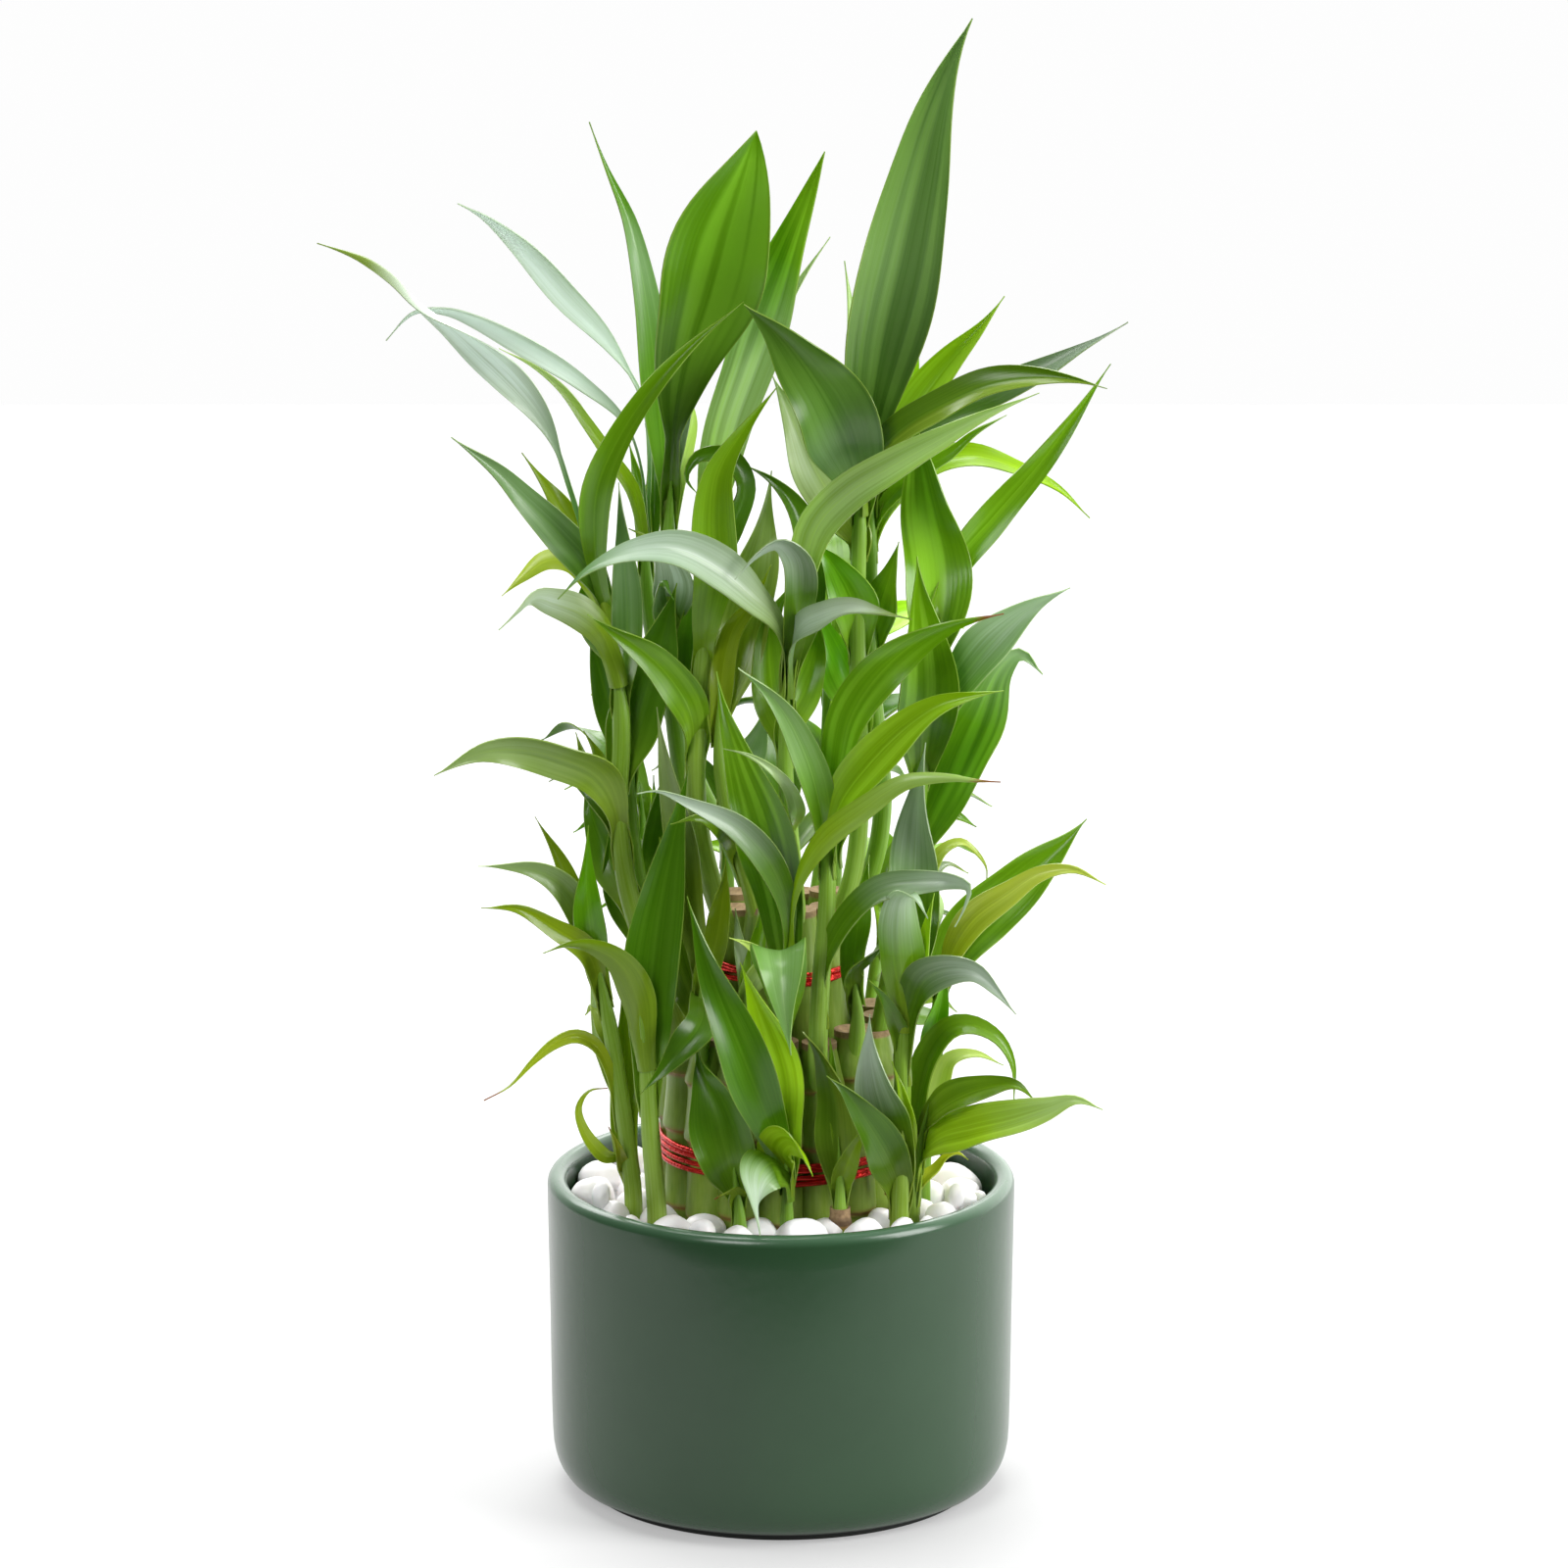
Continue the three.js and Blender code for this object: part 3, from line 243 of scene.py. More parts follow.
pot = turned_up("pot_glazed", pot_profile, segments=160)
shade_smooth(pot, degrees=40)
glaze, shader, tree = new_material("green_glaze", linear(56, 82, 62), roughness=0.3)
place = node(tree, "TexCoord").outputs["Object"]
height = node(tree, "SeparateXYZ", Vector=place).outputs["Z"]
rim_thin = ranged(tree, height, (106.4 * MM, 109.6 * MM), (0, 0.8))
# Dark up to 4.8 mm: the bare foot, and above it painted shade over the curve of the glazed underside.
bare = ranged(tree, height, (3.4 * MM, 4.8 * MM), (1, 0))
mottle = noise(tree, place, scale=45, detail=3)
deep = mixed(tree, mottle, linear(35, 64, 38), linear(40, 70, 43))
thin = mixed(tree, rim_thin, deep, linear(70, 104, 76))
tree.links.new(mixed(tree, bare, thin, linear(24, 28, 24)), shader.inputs["Base Color"])
tree.links.new(ranged(tree, bare, (0, 1), (0.24, 0.8)), shader.inputs["Roughness"])
embossed(tree, shader, noise(tree, place, scale=220, detail=2), strength=0.12, distance=0.4)
pot.data.materials.append(glaze)
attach(pot, "root")
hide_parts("pot")

# Growing medium
# The pot is filled with damp dark soil up to the pebbles. Little of it shows between the stones.
soil, shader, tree = new_material("damp_soil", linear(58, 44, 34), roughness=0.9, specular=0.2)
grain = noise(tree, node(tree, "TexCoord").outputs["Object"], scale=260, detail=5)
earth = mixed(tree, grain, linear(34, 25, 19), linear(96, 74, 56))
tree.links.new(earth, shader.inputs["Base Color"])
embossed(tree, shader, grain, strength=0.8, distance=2)
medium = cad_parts["growing_medium"]
for slot in medium.material_slots:
    slot.link = "OBJECT"
    slot.material = soil

# Canes
# Sixteen short canes stand in a ring, and eight taller ones in a ring inside it. Each is a
# straight cut length of stem with swollen joints, smooth green skin and a rough tan cut top.
outer_tier = {"count": 16, "ring": 33.7, "radius": 6.2, "top": 167, "joint": 131, "turn": 0}
inner_tier = {"count": 8, "ring": 16.5, "radius": 5.9, "top": 208, "joint": 186, "turn": 0.5}
cane_foot = 50
# How thick a cane is, as a share of its radius: between its joints, and by the height from its top
# and from a joint.
cane_share = 0.96
top_shares = [(-2.6, 0.955), (-1.8, 0.965), (-1, cane_share)]
joint_shares = [
    (-5, 0.965), (-1.6, 1.0), (-0.5, 1.03), (0, 0.99), (0.5, 1.02), (1.8, 0.985), (7, 0.945),
]


def on_ring(tier, index):
    """Where a cane of a tier stands. The first one is at the front."""
    turn = -math.pi / 2 + (index + tier["turn"]) * 2 * math.pi / tier["count"]
    return tier["ring"] * math.cos(turn), tier["ring"] * math.sin(turn)


def top_drop(index):
    """Tops differ by a few millimetres, as canes cut by hand do."""
    return 1.5 * (1 + math.sin(index * 2.4))


def ring_selected(piece, height):
    """Selects the vertices that lie at a height, in edit mode."""
    near = 0.02
    bpy.ops.object.mode_set(mode="OBJECT")
    for vertex in piece.data.vertices:
        vertex.select = abs(vertex.co.z - height * MM) < near * MM
    bpy.ops.object.mode_set(mode="EDIT")


def cane(name, radius, foot, top, joints):
    """A cane on the axis: a cylinder cut across at its joints, which swell above a narrow scar."""
    bpy.ops.mesh.primitive_cylinder_add(
        vertices=28, radius=radius * cane_share * MM, depth=(top - foot) * MM,
        location=(0, 0, (top + foot) / 2 * MM),
    )
    piece = bpy.context.object
    piece.name = name
    place_in_mesh(piece)
    bpy.ops.object.mode_set(mode="EDIT")
    cuts = [(foot + 0.5, cane_share)] + [(top + rise, share) for rise, share in top_shares]
    cuts += [(joint + rise, share) for joint in joints for rise, share in joint_shares]
    for height, share in cuts:
        bpy.ops.mesh.select_all(action="SELECT")
        bpy.ops.mesh.bisect(plane_co=(0, 0, height * MM), plane_no=(0, 0, 1))
        ring_selected(piece, height)
        bpy.ops.transform.resize(value=(share / cane_share, share / cane_share, 1))
    ring_selected(piece, top)
    bpy.ops.mesh.select_mode(type="FACE")
    bpy.ops.mesh.inset(thickness=0.5 * MM)
    bpy.ops.mesh.inset(thickness=radius * 0.3 * MM, depth=-0.7 * MM)
    bpy.ops.mesh.inset(thickness=radius * 0.35 * MM, depth=-0.3 * MM)
    bpy.ops.mesh.select_mode(type="VERT")
    bpy.ops.object.mode_set(mode="OBJECT")
    return piece


def moved_copy(piece, name, matrix):
    """A copy with its own mesh, its place put into the mesh."""
    made = piece.copy()
    made.data = piece.data.copy()
    made.name = name
    bpy.context.collection.objects.link(made)
    made.data.transform(matrix)
    return made


cane_skin, shader, tree = new_material("cane_skin", linear(96, 132, 50), roughness=0.42)
place = node(tree, "TexCoord").outputs["Object"]
stretched = node(tree, "Mapping", Vector=place, Scale=(1, 1, 0.12)).outputs[0]
streak = noise(tree, stretched, scale=900, detail=3)
cloud = noise(tree, place, scale=60, detail=2)
green = mixed(tree, cloud, linear(88, 122, 26), linear(142, 168, 58))
green = mixed(tree, ranged(tree, streak, (0.35, 0.7), (0, 0.35)), green, linear(156, 178, 84))
marks = node(tree, "Attribute", {"attribute_name": "cane_marks"}).outputs["Color"]
mark = node(tree, "SeparateColor", Color=marks).outputs
scarred = mixed(tree, mark["Red"], green, linear(156, 108, 66))
grain = noise(tree, place, scale=700, detail=4)
wood = mixed(tree, grain, linear(92, 68, 44), linear(186, 156, 116))
dark_rim = arithmetic(tree, "MULTIPLY", mark["Blue"], 0.75)
wood = mixed(tree, dark_rim, wood, linear(66, 46, 28))
tree.links.new(mixed(tree, mark["Green"], scarred, wood), shader.inputs["Base Color"])
tree.links.new(ranged(tree, mark["Green"], (0, 1), (0.4, 0.85)), shader.inputs["Roughness"])
embossed(tree, shader, streak, strength=0.2, distance=0.4)


def mark_cane(piece, top, joints, bare):
    """Keeps how brown the joints are in red, where the cut wood shows in green, and where its dark
    dried rim is in blue."""
    scar_reach, scar_brown, bare_foot, rim_from = 1.5, 0.9, 0.2, 0.88
    marks = piece.data.color_attributes.new("cane_marks", "FLOAT_COLOR", "POINT")
    reach = max(math.hypot(vertex.co.x, vertex.co.y) for vertex in piece.data.vertices)
    for vertex, mark in zip(piece.data.vertices, marks.data):
        height = vertex.co.z / MM
        scar = max([0] + [1 - abs(height - joint) / scar_reach for joint in joints])
        cut = 1.0 if height > top - bare or height < cane_foot + bare_foot else 0.0
        rim = 1.0 if math.hypot(vertex.co.x, vertex.co.y) > rim_from * reach else 0.0
        mark.color = (scar_brown * scar, cut, rim, 1)
    piece.data.materials.append(cane_skin)


for tier_name, tier in (("outer", outer_tier), ("inner", inner_tier)):
    top = tier["top"]
    joints = [tier["joint"] + rise for rise in (-55, -27, 0, 20)]
    joints = [joint for joint in joints if joint < top - 4]
    pattern = cane("cane_pattern", tier["radius"], cane_foot, top, joints)
    mark_cane(pattern, top, joints, bare=2.2)
    for index in range(tier["count"]):
        x, y = on_ring(tier, index)
        turn = Matrix.Rotation(index * 2.1, 4, "Z")
        piece = moved_copy(pattern, f"{tier_name}_cane_{index + 1}", turn)
        for vertex in piece.data.vertices:
            if vertex.co.z > (tier["joint"] - 50) * MM:
                vertex.co.z -= top_drop(index) * MM
        piece.data.transform(Matrix.Translation((x * MM, y * MM, 0)))
        shade_smooth(piece, degrees=35)
        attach(piece, "root")
        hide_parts(f"{tier_name}_stalk_{index + 1}")
    bpy.data.objects.remove(pattern)

# Ties
# Each tier is bound with red foil-covered wire, wound round by hand four or three times. The
# strands press on the canes and cross a little, and the lower one ends in a bent tail.
wire_radius, lower_height, upper_height = 0.95, 116.2, 180.8


def tube(name, path, radii, sides):
    """A skin round a path of points, with a radius at each, closed at both ends."""
    path = np.array(path, float)
    last = len(path) - 1
    tangents = np.gradient(path, axis=0)
    tangents /= np.linalg.norm(tangents, axis=1)[:, None]
    side = Vector(tangents[0]).orthogonal().normalized()
    verts, faces = [], []
    for i in range(last + 1):
        if i:
            turn = Vector(tangents[i - 1]).rotation_difference(Vector(tangents[i]))
            side = (turn @ side).normalized()
        other = Vector(tangents[i]).cross(side)
        for j in range(sides):
            angle = 2 * math.pi * j / sides
            point = side * math.cos(angle) + other * math.sin(angle)
            verts.append(Vector(path[i]) + point * float(radii[i]))
    for i in range(0, last * sides, sides):
        for j in range(sides):
            n = (j + 1) % sides
            faces.append((i + j, i + n, i + sides + n, i + sides + j))
    faces.append(tuple(range(sides))[::-1])
    faces.append(tuple(last * sides + j for j in range(sides)))
    mesh = bpy.data.meshes.new(name)
    mesh.from_pydata([v * MM for v in verts], [], faces)
    piece = bpy.data.objects.new(name, mesh)
    bpy.context.collection.objects.link(piece)
    return piece


def joined_as(name, pieces):
    """Joins pieces into one."""
    only(pieces[0])
    for piece in pieces[1:]:
        piece.select_set(True)
    bpy.ops.object.join()
    pieces[0].name = name
    return pieces[0]


red_foil, shader, tree = new_material("red_foil", linear(196, 22, 24), roughness=0.2)
shader.inputs["Metallic"].default_value = 0.7
crinkle = noise(tree, node(tree, "TexCoord").outputs["Object"], scale=650, detail=3)
shade = mixed(tree, crinkle, linear(168, 10, 14), linear(242, 56, 46))
tree.links.new(shade, shader.inputs["Base Color"])
embossed(tree, shader, crinkle, strength=0.6, distance=0.6)

wind = np.random.default_rng(11)


def wound(name, node_name, tier, low, turns, tail):
    """A wire wound round a tier as one long coil with uneven strands, and its tail."""
    steps_a_turn, sides, start, pitch = 72, 10, math.pi * 0.62, 2.5
    clearance, dent, dents_a_turn, sways_a_turn = 0.12, 0.1, 5.3, 1.7
    steps = steps_a_turn * turns
    angle = np.linspace(0, 2 * math.pi * turns, steps) - start
    sway = sum(
        wind.uniform(0.15, 0.55) * np.sin(k * angle / turns * sways_a_turn + wind.uniform(0, 6))
        for k in range(1, 7)
    )
    inner = tier["ring"] + tier["radius"] + 0.3 + wire_radius + clearance
    ring = inner + dent * (1 + np.sin(dents_a_turn * angle)) + 0.12 * np.abs(sway)
    height = low + 1 + np.linspace(0, pitch * turns - 2, steps) + 0.6 * sway
    path = np.stack([ring * np.cos(angle), ring * np.sin(angle), height], 1)
    strands = [tube("strand", path, np.full(steps, wire_radius), sides)]
    if tail is not None:
        strands.append(tube("tail", tail, np.full(len(tail), wire_radius), sides))
    piece = joined_as(name, strands)
    piece.data.materials.append(red_foil)
    shade_smooth(piece, degrees=60)
    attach(piece, "root")
    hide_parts(node_name)


def seen(point):
    """Where a point lies that shows at (across, height) in the upright picture plane through the
    pot's axis, and is so far back."""
    across, height, depth_back = point
    right, up = across - eye_across, height - eye_level
    rise, run = math.sin(eye_tilt), math.cos(eye_tilt)
    depth = (depth_back - up * rise) / (run + up * rise / eye_distance)
    spread = 1 + depth / eye_distance
    return (eye_across + spread * right, depth_back, eye_aim + spread * up * run - depth * rise)


def curve_through(points, count):
    """Points evenly spaced along a smooth curve through the given ones."""
    points = [np.array(p, float) for p in points]
    last = len(points) - 1
    ends = [2 * points[0] - points[1], *points, 2 * points[-1] - points[-2]]
    fine = []
    for i in range(last):
        a, b, c, d = ends[i : i + 4]
        s0, s1, s2 = (max(np.linalg.norm(q - p), 1e-8) ** 0.5 for p, q in ((a, b), (b, c), (c, d)))
        t1 = ((b - a) / s0 - (c - a) / (s0 + s1) + (c - b) / s1) * s1
        t2 = ((c - b) / s1 - (d - b) / (s1 + s2) + (d - c) / s2) * s1
        for w in np.arange(0, 1, 0.05):
            fine.append(
                b + t1 * w + (-3 * b + 3 * c - 2 * t1 - t2) * w**2 + (2 * b - 2 * c + t1 + t2) * w**3
            )
    fine = np.array([*fine, points[-1]])
    run = np.concatenate([[0], np.cumsum(np.linalg.norm(np.diff(fine, axis=0), axis=1))])
    at = np.linspace(0, run[-1], count)
    return np.stack([np.interp(at, run, fine[:, k]) for k in range(3)], 1), run[-1]


tail_traced = [(29.2, 113, -29.2), (33, 110.5, -32.5), (36, 105.5, -33.5), (36, 100.5, -33.5)]
tail_path = curve_through([seen(p) for p in tail_traced], 24)[0]
wound("lower_tie_wire", "lower_tie", outer_tier, lower_height, turns=4, tail=tail_path)
wound("upper_tie_wire", "upper_tie", inner_tier, upper_height, turns=3, tail=None)

# Leafy shoots of the outer tier
# A side shoot grows from each cane: a stem sheathed in the clasping bases of its leaves, and long
# pointed leaves, thin and glossy with fine veins along them and a paler edge.

# A look: colour, how striped it is, how dry its tip is, how strong the painted sheen is and from which
# share of the length it starts, and for some where it ends and the colour towards the tip. The painted
# sheen is a grey-white highlight mixed into the colour, for the white room reflected in the glossy leaves.
leaf_looks = {
    "dark": ((69, 118, 8), 0.2, 0, 0, 0),
    "teal": ((86, 137, 42), 0.2, 0, 0.2, 0.3),
    "teal_sheen": ((98, 158, 42), 0.2, 0, 0.6, 0.35),
    "mid": ((100, 151, 10), 0.3, 0, 0, 0),
    "mid_dry": ((106, 170, 8), 0.6, 1, 0, 0),
    "mid_pale_end": ((74, 124, 8), 0.2, 0, 0.7, 0.45),
    "mid_stripe": ((66, 110, 30), 0.9, 0, 0.1, 0.2, 1.3, (90, 142, 46)),
    "deep_teal": ((80, 128, 56), 0.3, 0, 0.12, 0.1, 0.5, (76, 122, 36)),
    "dark_pale_tip": ((60, 106, 4), 0.2, 0, 0.5, 0.55),
    "fresh": ((98, 168, 5), 0.3, 0, 0, 0),
    "bright": ((138, 192, 14), 0.35, 0, 0, 0),
    "bright_sheen": ((98, 156, 12), 0.3, 0, 0.8, 0.4),
    "bright_pale": ((144, 188, 30), 0.35, 0, 0.35, 0.5),
    # The lit looks run from a darker base to a brighter tip: painted shade low down and painted light
    # above.
    "lit": ((64, 114, 4), 1.0, 0, 0, 0, 1.3, (108, 166, 6)),
    "lit_deep": ((64, 104, 14), 1.0, 0, 0, 0, 1.3, (88, 142, 2)),
    "gloss_bright": ((98, 154, 20), 0.2, 0, 0.2, 0.3),
    "pale_tip": ((110, 164, 22), 0.3, 0, 0.85, 0.4),
    "pale": ((178, 215, 58), 0.3, 0, 0.3, 0.1),
    "pale_green": ((145, 195, 48), 0.3, 0, 0.3, 0.2),
    "pale_sheen": ((104, 154, 74), 0.15, 0, 0.68, 0.12, 0.9, (118, 154, 44)),
    "teal_patch": ((112, 166, 46), 0.2, 0, 0.5, 0.45, 0.8, (92, 144, 40)),
    "grey": ((130, 170, 58), 0.2, 0, 0.4, 0.2),
    "grey_sheen": ((78, 128, 62), 0.15, 0, 0.85, 0.16, 0.86, (108, 142, 34)),
    "silver": ((92, 140, 80), 0.15, 0, 1.2, 0.22, 1.1, (100, 138, 66)),
    "silver_olive": ((84, 130, 70), 0.15, 0, 1.25, 0.28, 0.9, (98, 128, 42)),
    "arch_sheen": ((112, 146, 54), 0.15, 0, 0.6, 0.16, 0.9, (92, 134, 78)),
    "olive": ((110, 146, 10), 0.25, 0, 0, 0),
    "olive_grey": ((112, 150, 36), 0.25, 0, 0.2, 0.4),
    "olive_pale": ((160, 188, 44), 0.25, 0, 0.1, 0.3),
    "olive_sheen": ((120, 156, 16), 0.25, 0, 0.8, 0.35),
    "olive_dry": ((150, 176, 38), 0.2, 1, 0, 0),
    "olive_pale_dry": ((121, 167, 21), 0.3, 1, 0.2, 0.5),
    "stripe": ((100, 160, 10), 1.0, 0, 0, 0),
    "stripe_sheen": ((120, 172, 50), 1.0, 0, 0.4, 0.08, 0.75, (100, 156, 14)),
    "stripe_pale_tip": ((102, 164, 18), 1.0, 0, 0.4, 0.6),
    # The half look has one side of its blade painted lighter: painted light on one side of the fold.
    "half": ((77, 119, 12), 0.2, 0, 0, 0),
    "yellow": ((182, 204, 38), 0.2, 0, 0, 0),
}
# A shoot's row: the height where it leaves its cane, its stem, and its leaves. A leaf's row: its
# width, its roll out of the picture, the share that is narrow neck, its look, and its midrib from
# the stem to the tip as (across, height, back) in the picture. Some end with how many degrees the
# tip twists, and how full the upper half is.
outer_shoots = {
    0: (148, [(1, 163, -42), (2, 174, -42.5), (2.5, 187, -42.5)], [
        (9, 15, 0.1, "mid_pale_end", [(2, 176, -42), (2, 198, -45), (-4, 213, -50),
            (-15, 225, -56), (-30, 232.5, -62), (-42, 237, -67), (-49, 236, -70)]),
        (8, 160, 0.2, "olive_pale_dry", [(3, 178, -42.5), (5, 204, -47), (13, 219, -53), (28, 231, -60),
            (42, 240, -64), (56, 241.5, -66), (66, 240.5, -67), (75, 240, -68)]),
        (18, 180, 0, "gloss_bright", [(1, 162, -43), (0, 174, -50), (-0.5, 183, -60), (0, 177, -70),
            (1, 165, -75), (3.5, 147, -78)]),
        (19, -12, 0, "lit", [(2, 176, -41), (-1, 205, -39), (-7, 228, -41), (-14, 248, -40),
            (-19, 264, -36), (-22, 278, -30)]),
    ]),
    1: (136, [(12.5, 150, -41), (13.5, 172, -42), (15.5, 198, -42), (16, 222, -41),
        (16.5, 234, -41)], [
        (11, 20, 0.05, "gloss_bright", [(15.5, 214, -41), (13, 232, -46), (9, 247, -50), (2, 262, -54),
            (-5, 271, -57), (-15, 279, -60)]),
        (14, -25, 0.05, "bright", [(15.5, 214, -42), (20, 232, -47), (30, 246, -52), (42, 258, -55),
            (54, 266, -58), (66, 269.5, -60), (76, 271, -61)]),
        (16, -20, 0.1, "mid_dry", [(16, 222, -40), (20, 245, -40), (24, 262, -42),
            (33, 276, -45), (45, 287, -48), (58, 293.5, -52), (76, 297, -55)]),
        (10, -30, 0.1, "mid_pale_end", [(13.2, 166, -42), (16, 182, -45), (22, 193, -48), (33, 203, -51),
            (46, 206, -54), (58, 206.5, -57), (64, 204, -62), (62, 197, -66), (58.5, 190.5, -68)]),
        (6, 30, 0, "bright", [(15.8, 214, -41), (11.5, 233, -35), (6.5, 247, -31)]),
    ]),
    2: (146, [(26, 160, -31), (25, 172, -32), (24.5, 180, -32)], [
        (7, 30, 0, "dark", [(25, 168, -32), (24, 175, -37), (29, 180, -40), (36, 185.5, -42)]),
        (9, -15, 0, "mid", [(24.5, 172, -32), (25.5, 188, -31), (28, 203, -29), (30, 216, -27)]),
    ]),
    3: (150, [(37, 175, -14), (42, 200, -14), (45.5, 225, -15), (48, 250, -17), (50, 275, -19),
        (51.5, 300, -20)], [
        (23, -20, 0.05, "stripe_pale_tip", [(43.5, 212, -14), (50, 226, -11), (59, 244, -8), (67, 262, -5),
            (74, 278, -3), (81, 283.5, -2), (89, 276, -1)]),
        (19, 5, 0, "lit", [(47.5, 243, -18), (48.5, 258, -27), (50, 273, -31), (49, 290, -33),
            (47, 305, -34), (46, 317, -35)]),
        (16, -30, 0.05, "teal_sheen", [(48.5, 254, -18), (54, 264, -22), (63, 277, -25), (74, 290, -27),
            (86, 300, -29), (98.5, 306, -31)]),
        (22, -10, 0, "stripe", [(50.5, 280, -19), (53, 297, -16), (53, 313, -12), (50, 331, -9),
            (47, 350, -7), (44, 366, -6)]),
        (11, 20, 0, "mid", [(51.5, 294, -19), (60, 316, -4), (72, 330, 0), (86, 346, 2),
            (98, 362, 4), (112, 382, 6)]),
        (8, -30, 0, "mid", [(51.3, 290, -18), (60, 315, 7), (69, 331.5, 14)]),
    ]),
    4: (152, [(39, 166, 0), (43, 180, 2), (46, 196, 3)], [
        (6, -40, 0, "olive_pale", [(45, 190, 3), (50, 208, 5), (55, 217, 6), (61, 219.5, 7),
            (66, 216, 8), (69.5, 211, 9), (69.7, 206, 9)]),
        (6, 40, 0, "pale_green", [(45, 190, 2), (50.5, 204, -4), (54, 198, -8), (53.2, 190, -10),
            (51, 181, -11)]),
        (9, -35, 0, "pale_sheen", [(45.5, 193, 4), (50, 207, 10), (56, 212, 14), (64, 209, 17)]),
        (9, -40, 0, "bright", [(43, 180, 2), (47, 183, 9), (54, 175, 14)]),
        (8, -35, 0, "olive", [(39.5, 168, 1), (46, 168, 9), (53, 167, 13), (60, 162, 16)]),
        (8, -35, 0, "mid", [(38.5, 163, 0.5), (46, 161, 5), (52, 160, 9), (57, 155, 13)]),
    ]),
    12: (150, [(-39, 165, 0), (-45, 190, -1), (-50, 220, -2), (-53, 255, -4), (-56, 285, -6),
        (-61, 309, -8)], [
        (12.5, -10, 0.36, "silver_olive", [(-60, 302, -8), (-65.5, 320, -12), (-71, 338, -16),
            (-79, 360, -20), (-92, 377, -24), (-108, 392, -28), (-122, 402, -31), (-131, 411, -33),
            (-141, 417, -35), (-157.5, 422.5, -38)], 120),
        (11.5, 10, 0, "teal", [(-60, 303, -8), (-67, 315, -18), (-76, 325, -24), (-87, 336, -30),
            (-97, 346, -35), (-112, 357, -40)]),
        (9, 20, 0, "olive", [(-60, 302, -7), (-67, 320, -1), (-76, 335, 3), (-83, 345, 6),
            (-88, 352, 8)]),
        (9.5, 0, 0, "mid", [(-59, 298, -8), (-63, 320, -22), (-62, 340, -30), (-54, 358, -35),
            (-43, 374, -37), (-30, 388, -37), (-12, 403, -36)]),
        (8, 165, 0, "olive_pale", [(-59.5, 300, -7), (-70, 314, -5), (-79, 315, -4), (-87, 309.5, -5),
            (-95, 302.5, -7)]),
        (10, 10, 0, "dark", [(-56, 282, -5), (-63, 291, -1), (-66, 301, 1), (-65, 313, 3)]),
        (10, 5, 0, "dark", [(-52, 245, -3), (-57, 262, 4), (-62, 280, 8), (-65, 297, 10)]),
        (14, 5, 0, "lit", [(-41, 172, 0), (-42, 195, 8), (-43, 218, 12), (-43, 243, 13)]),
        (14, -5, 0, "dark", [(-46, 195, -1), (-40, 215, 7), (-36, 238, 10), (-34, 262, 11)]),
    ]),
    13: (146, [(-38, 165, -21), (-46, 185, -24), (-52, 205, -26), (-55, 230, -27), (-54, 252, -27),
        (-54.5, 270, -27), (-58, 287, -28)], [
        (11, 170, 0.1, "olive_sheen", [(-56.5, 280, -28), (-61, 291, -33), (-68, 297, -37),
            (-77, 300.5, -41), (-83, 302, -46), (-88, 298, -50), (-96, 291, -54)]),
        (19, -10, 0, "dark", [(-54, 244, -26), (-50, 256, -22), (-45, 272, -20), (-40, 290, -19),
            (-35, 308, -18)]),
        (15, -20, 0.1, "olive_grey", [(-54, 218, -27), (-57, 234, -34), (-63, 243, -40), (-74, 248, -46),
            (-87, 251, -50), (-101, 250, -54), (-118, 242, -58)]),
        (7, 10, 0, "olive", [(-55, 228, -26), (-62, 240, -16), (-67, 249, -12), (-69.5, 257.5, -9)]),
        (8, 0, 0, "olive", [(-54.8, 224, -26), (-58, 238, -24), (-62, 249, -22), (-67, 258, -21)]),
        (4.5, 20, 0, "dark", [(-54, 218, -28), (-62, 232, -32), (-71, 241, -33), (-81, 245, -34)]),
        (5, 20, 0, "dark", [(-54, 219, -26), (-65, 238, -19), (-72.5, 243, -16), (-79, 240, -15)]),
        (12, -10, 0, "dark", [(-50, 198, -25), (-58, 214, -14), (-64, 229, -10), (-67, 243, -8)]),
        (10, 0, 0, "dark", [(-46, 185, -24), (-53, 198, -18), (-57, 212, -14), (-58, 228, -12)]),
        (10, 10, 0, "teal", [(-54.5, 268, -27), (-52, 290, -19), (-53, 316, -15), (-55, 342, -13)]),
    ]),
    14: (138, [(-27, 150, -32), (-27, 165, -33), (-26.5, 178, -33)], [
        (11, 10, 0, "dark", [(-26.5, 168, -33), (-27, 159, -44), (-35, 148, -53), (-48, 134, -59)]),
        (11, -10, 0, "olive_grey", [(-26.7, 174, -33), (-32, 205, -29), (-36, 230, -30), (-40, 250, -33),
            (-42, 266, -35)]),
        (13, 0, 0, "mid", [(-27, 158, -33), (-34, 178, -24), (-39, 199, -20), (-41, 222, -18)]),
        (9, -10, 0, "olive", [(-26.5, 170, -33), (-21.5, 188, -35), (-19.5, 203, -35),
            (-18.5, 215, -34)]),
    ]),
    15: (140, [(-13, 152, -39), (-12, 165, -40), (-11, 176, -40)], [
        (7, 20, 0, "pale", [(-11.5, 168, -40), (-6, 180, -47), (-11, 185, -50), (-18, 187.5, -52)]),
        (6, 0, 0, "mid", [(-11.2, 172, -39), (-8, 184, -35), (-7, 194, -33), (-8, 203, -32)]),
        (5, 0, 0, "grey", [(-11.5, 170, -39), (-14, 186, -34), (-15.5, 198, -31)]),
    ]),
}
leaf_thickness = 0.45
leaf_rows, leaf_columns = 36, 9
fine_twist = 60  # from so many degrees on, a twisted leaf has three times the rows
sheath_run = 9  # how far down the stem a leaf's sheath starts
clasp_run, sheath_widens = 11, 17  # how fast a leaf's base opens, and how fast it loses its width
sheath_fade = 32  # how far up a leaf its stem's colour fades out
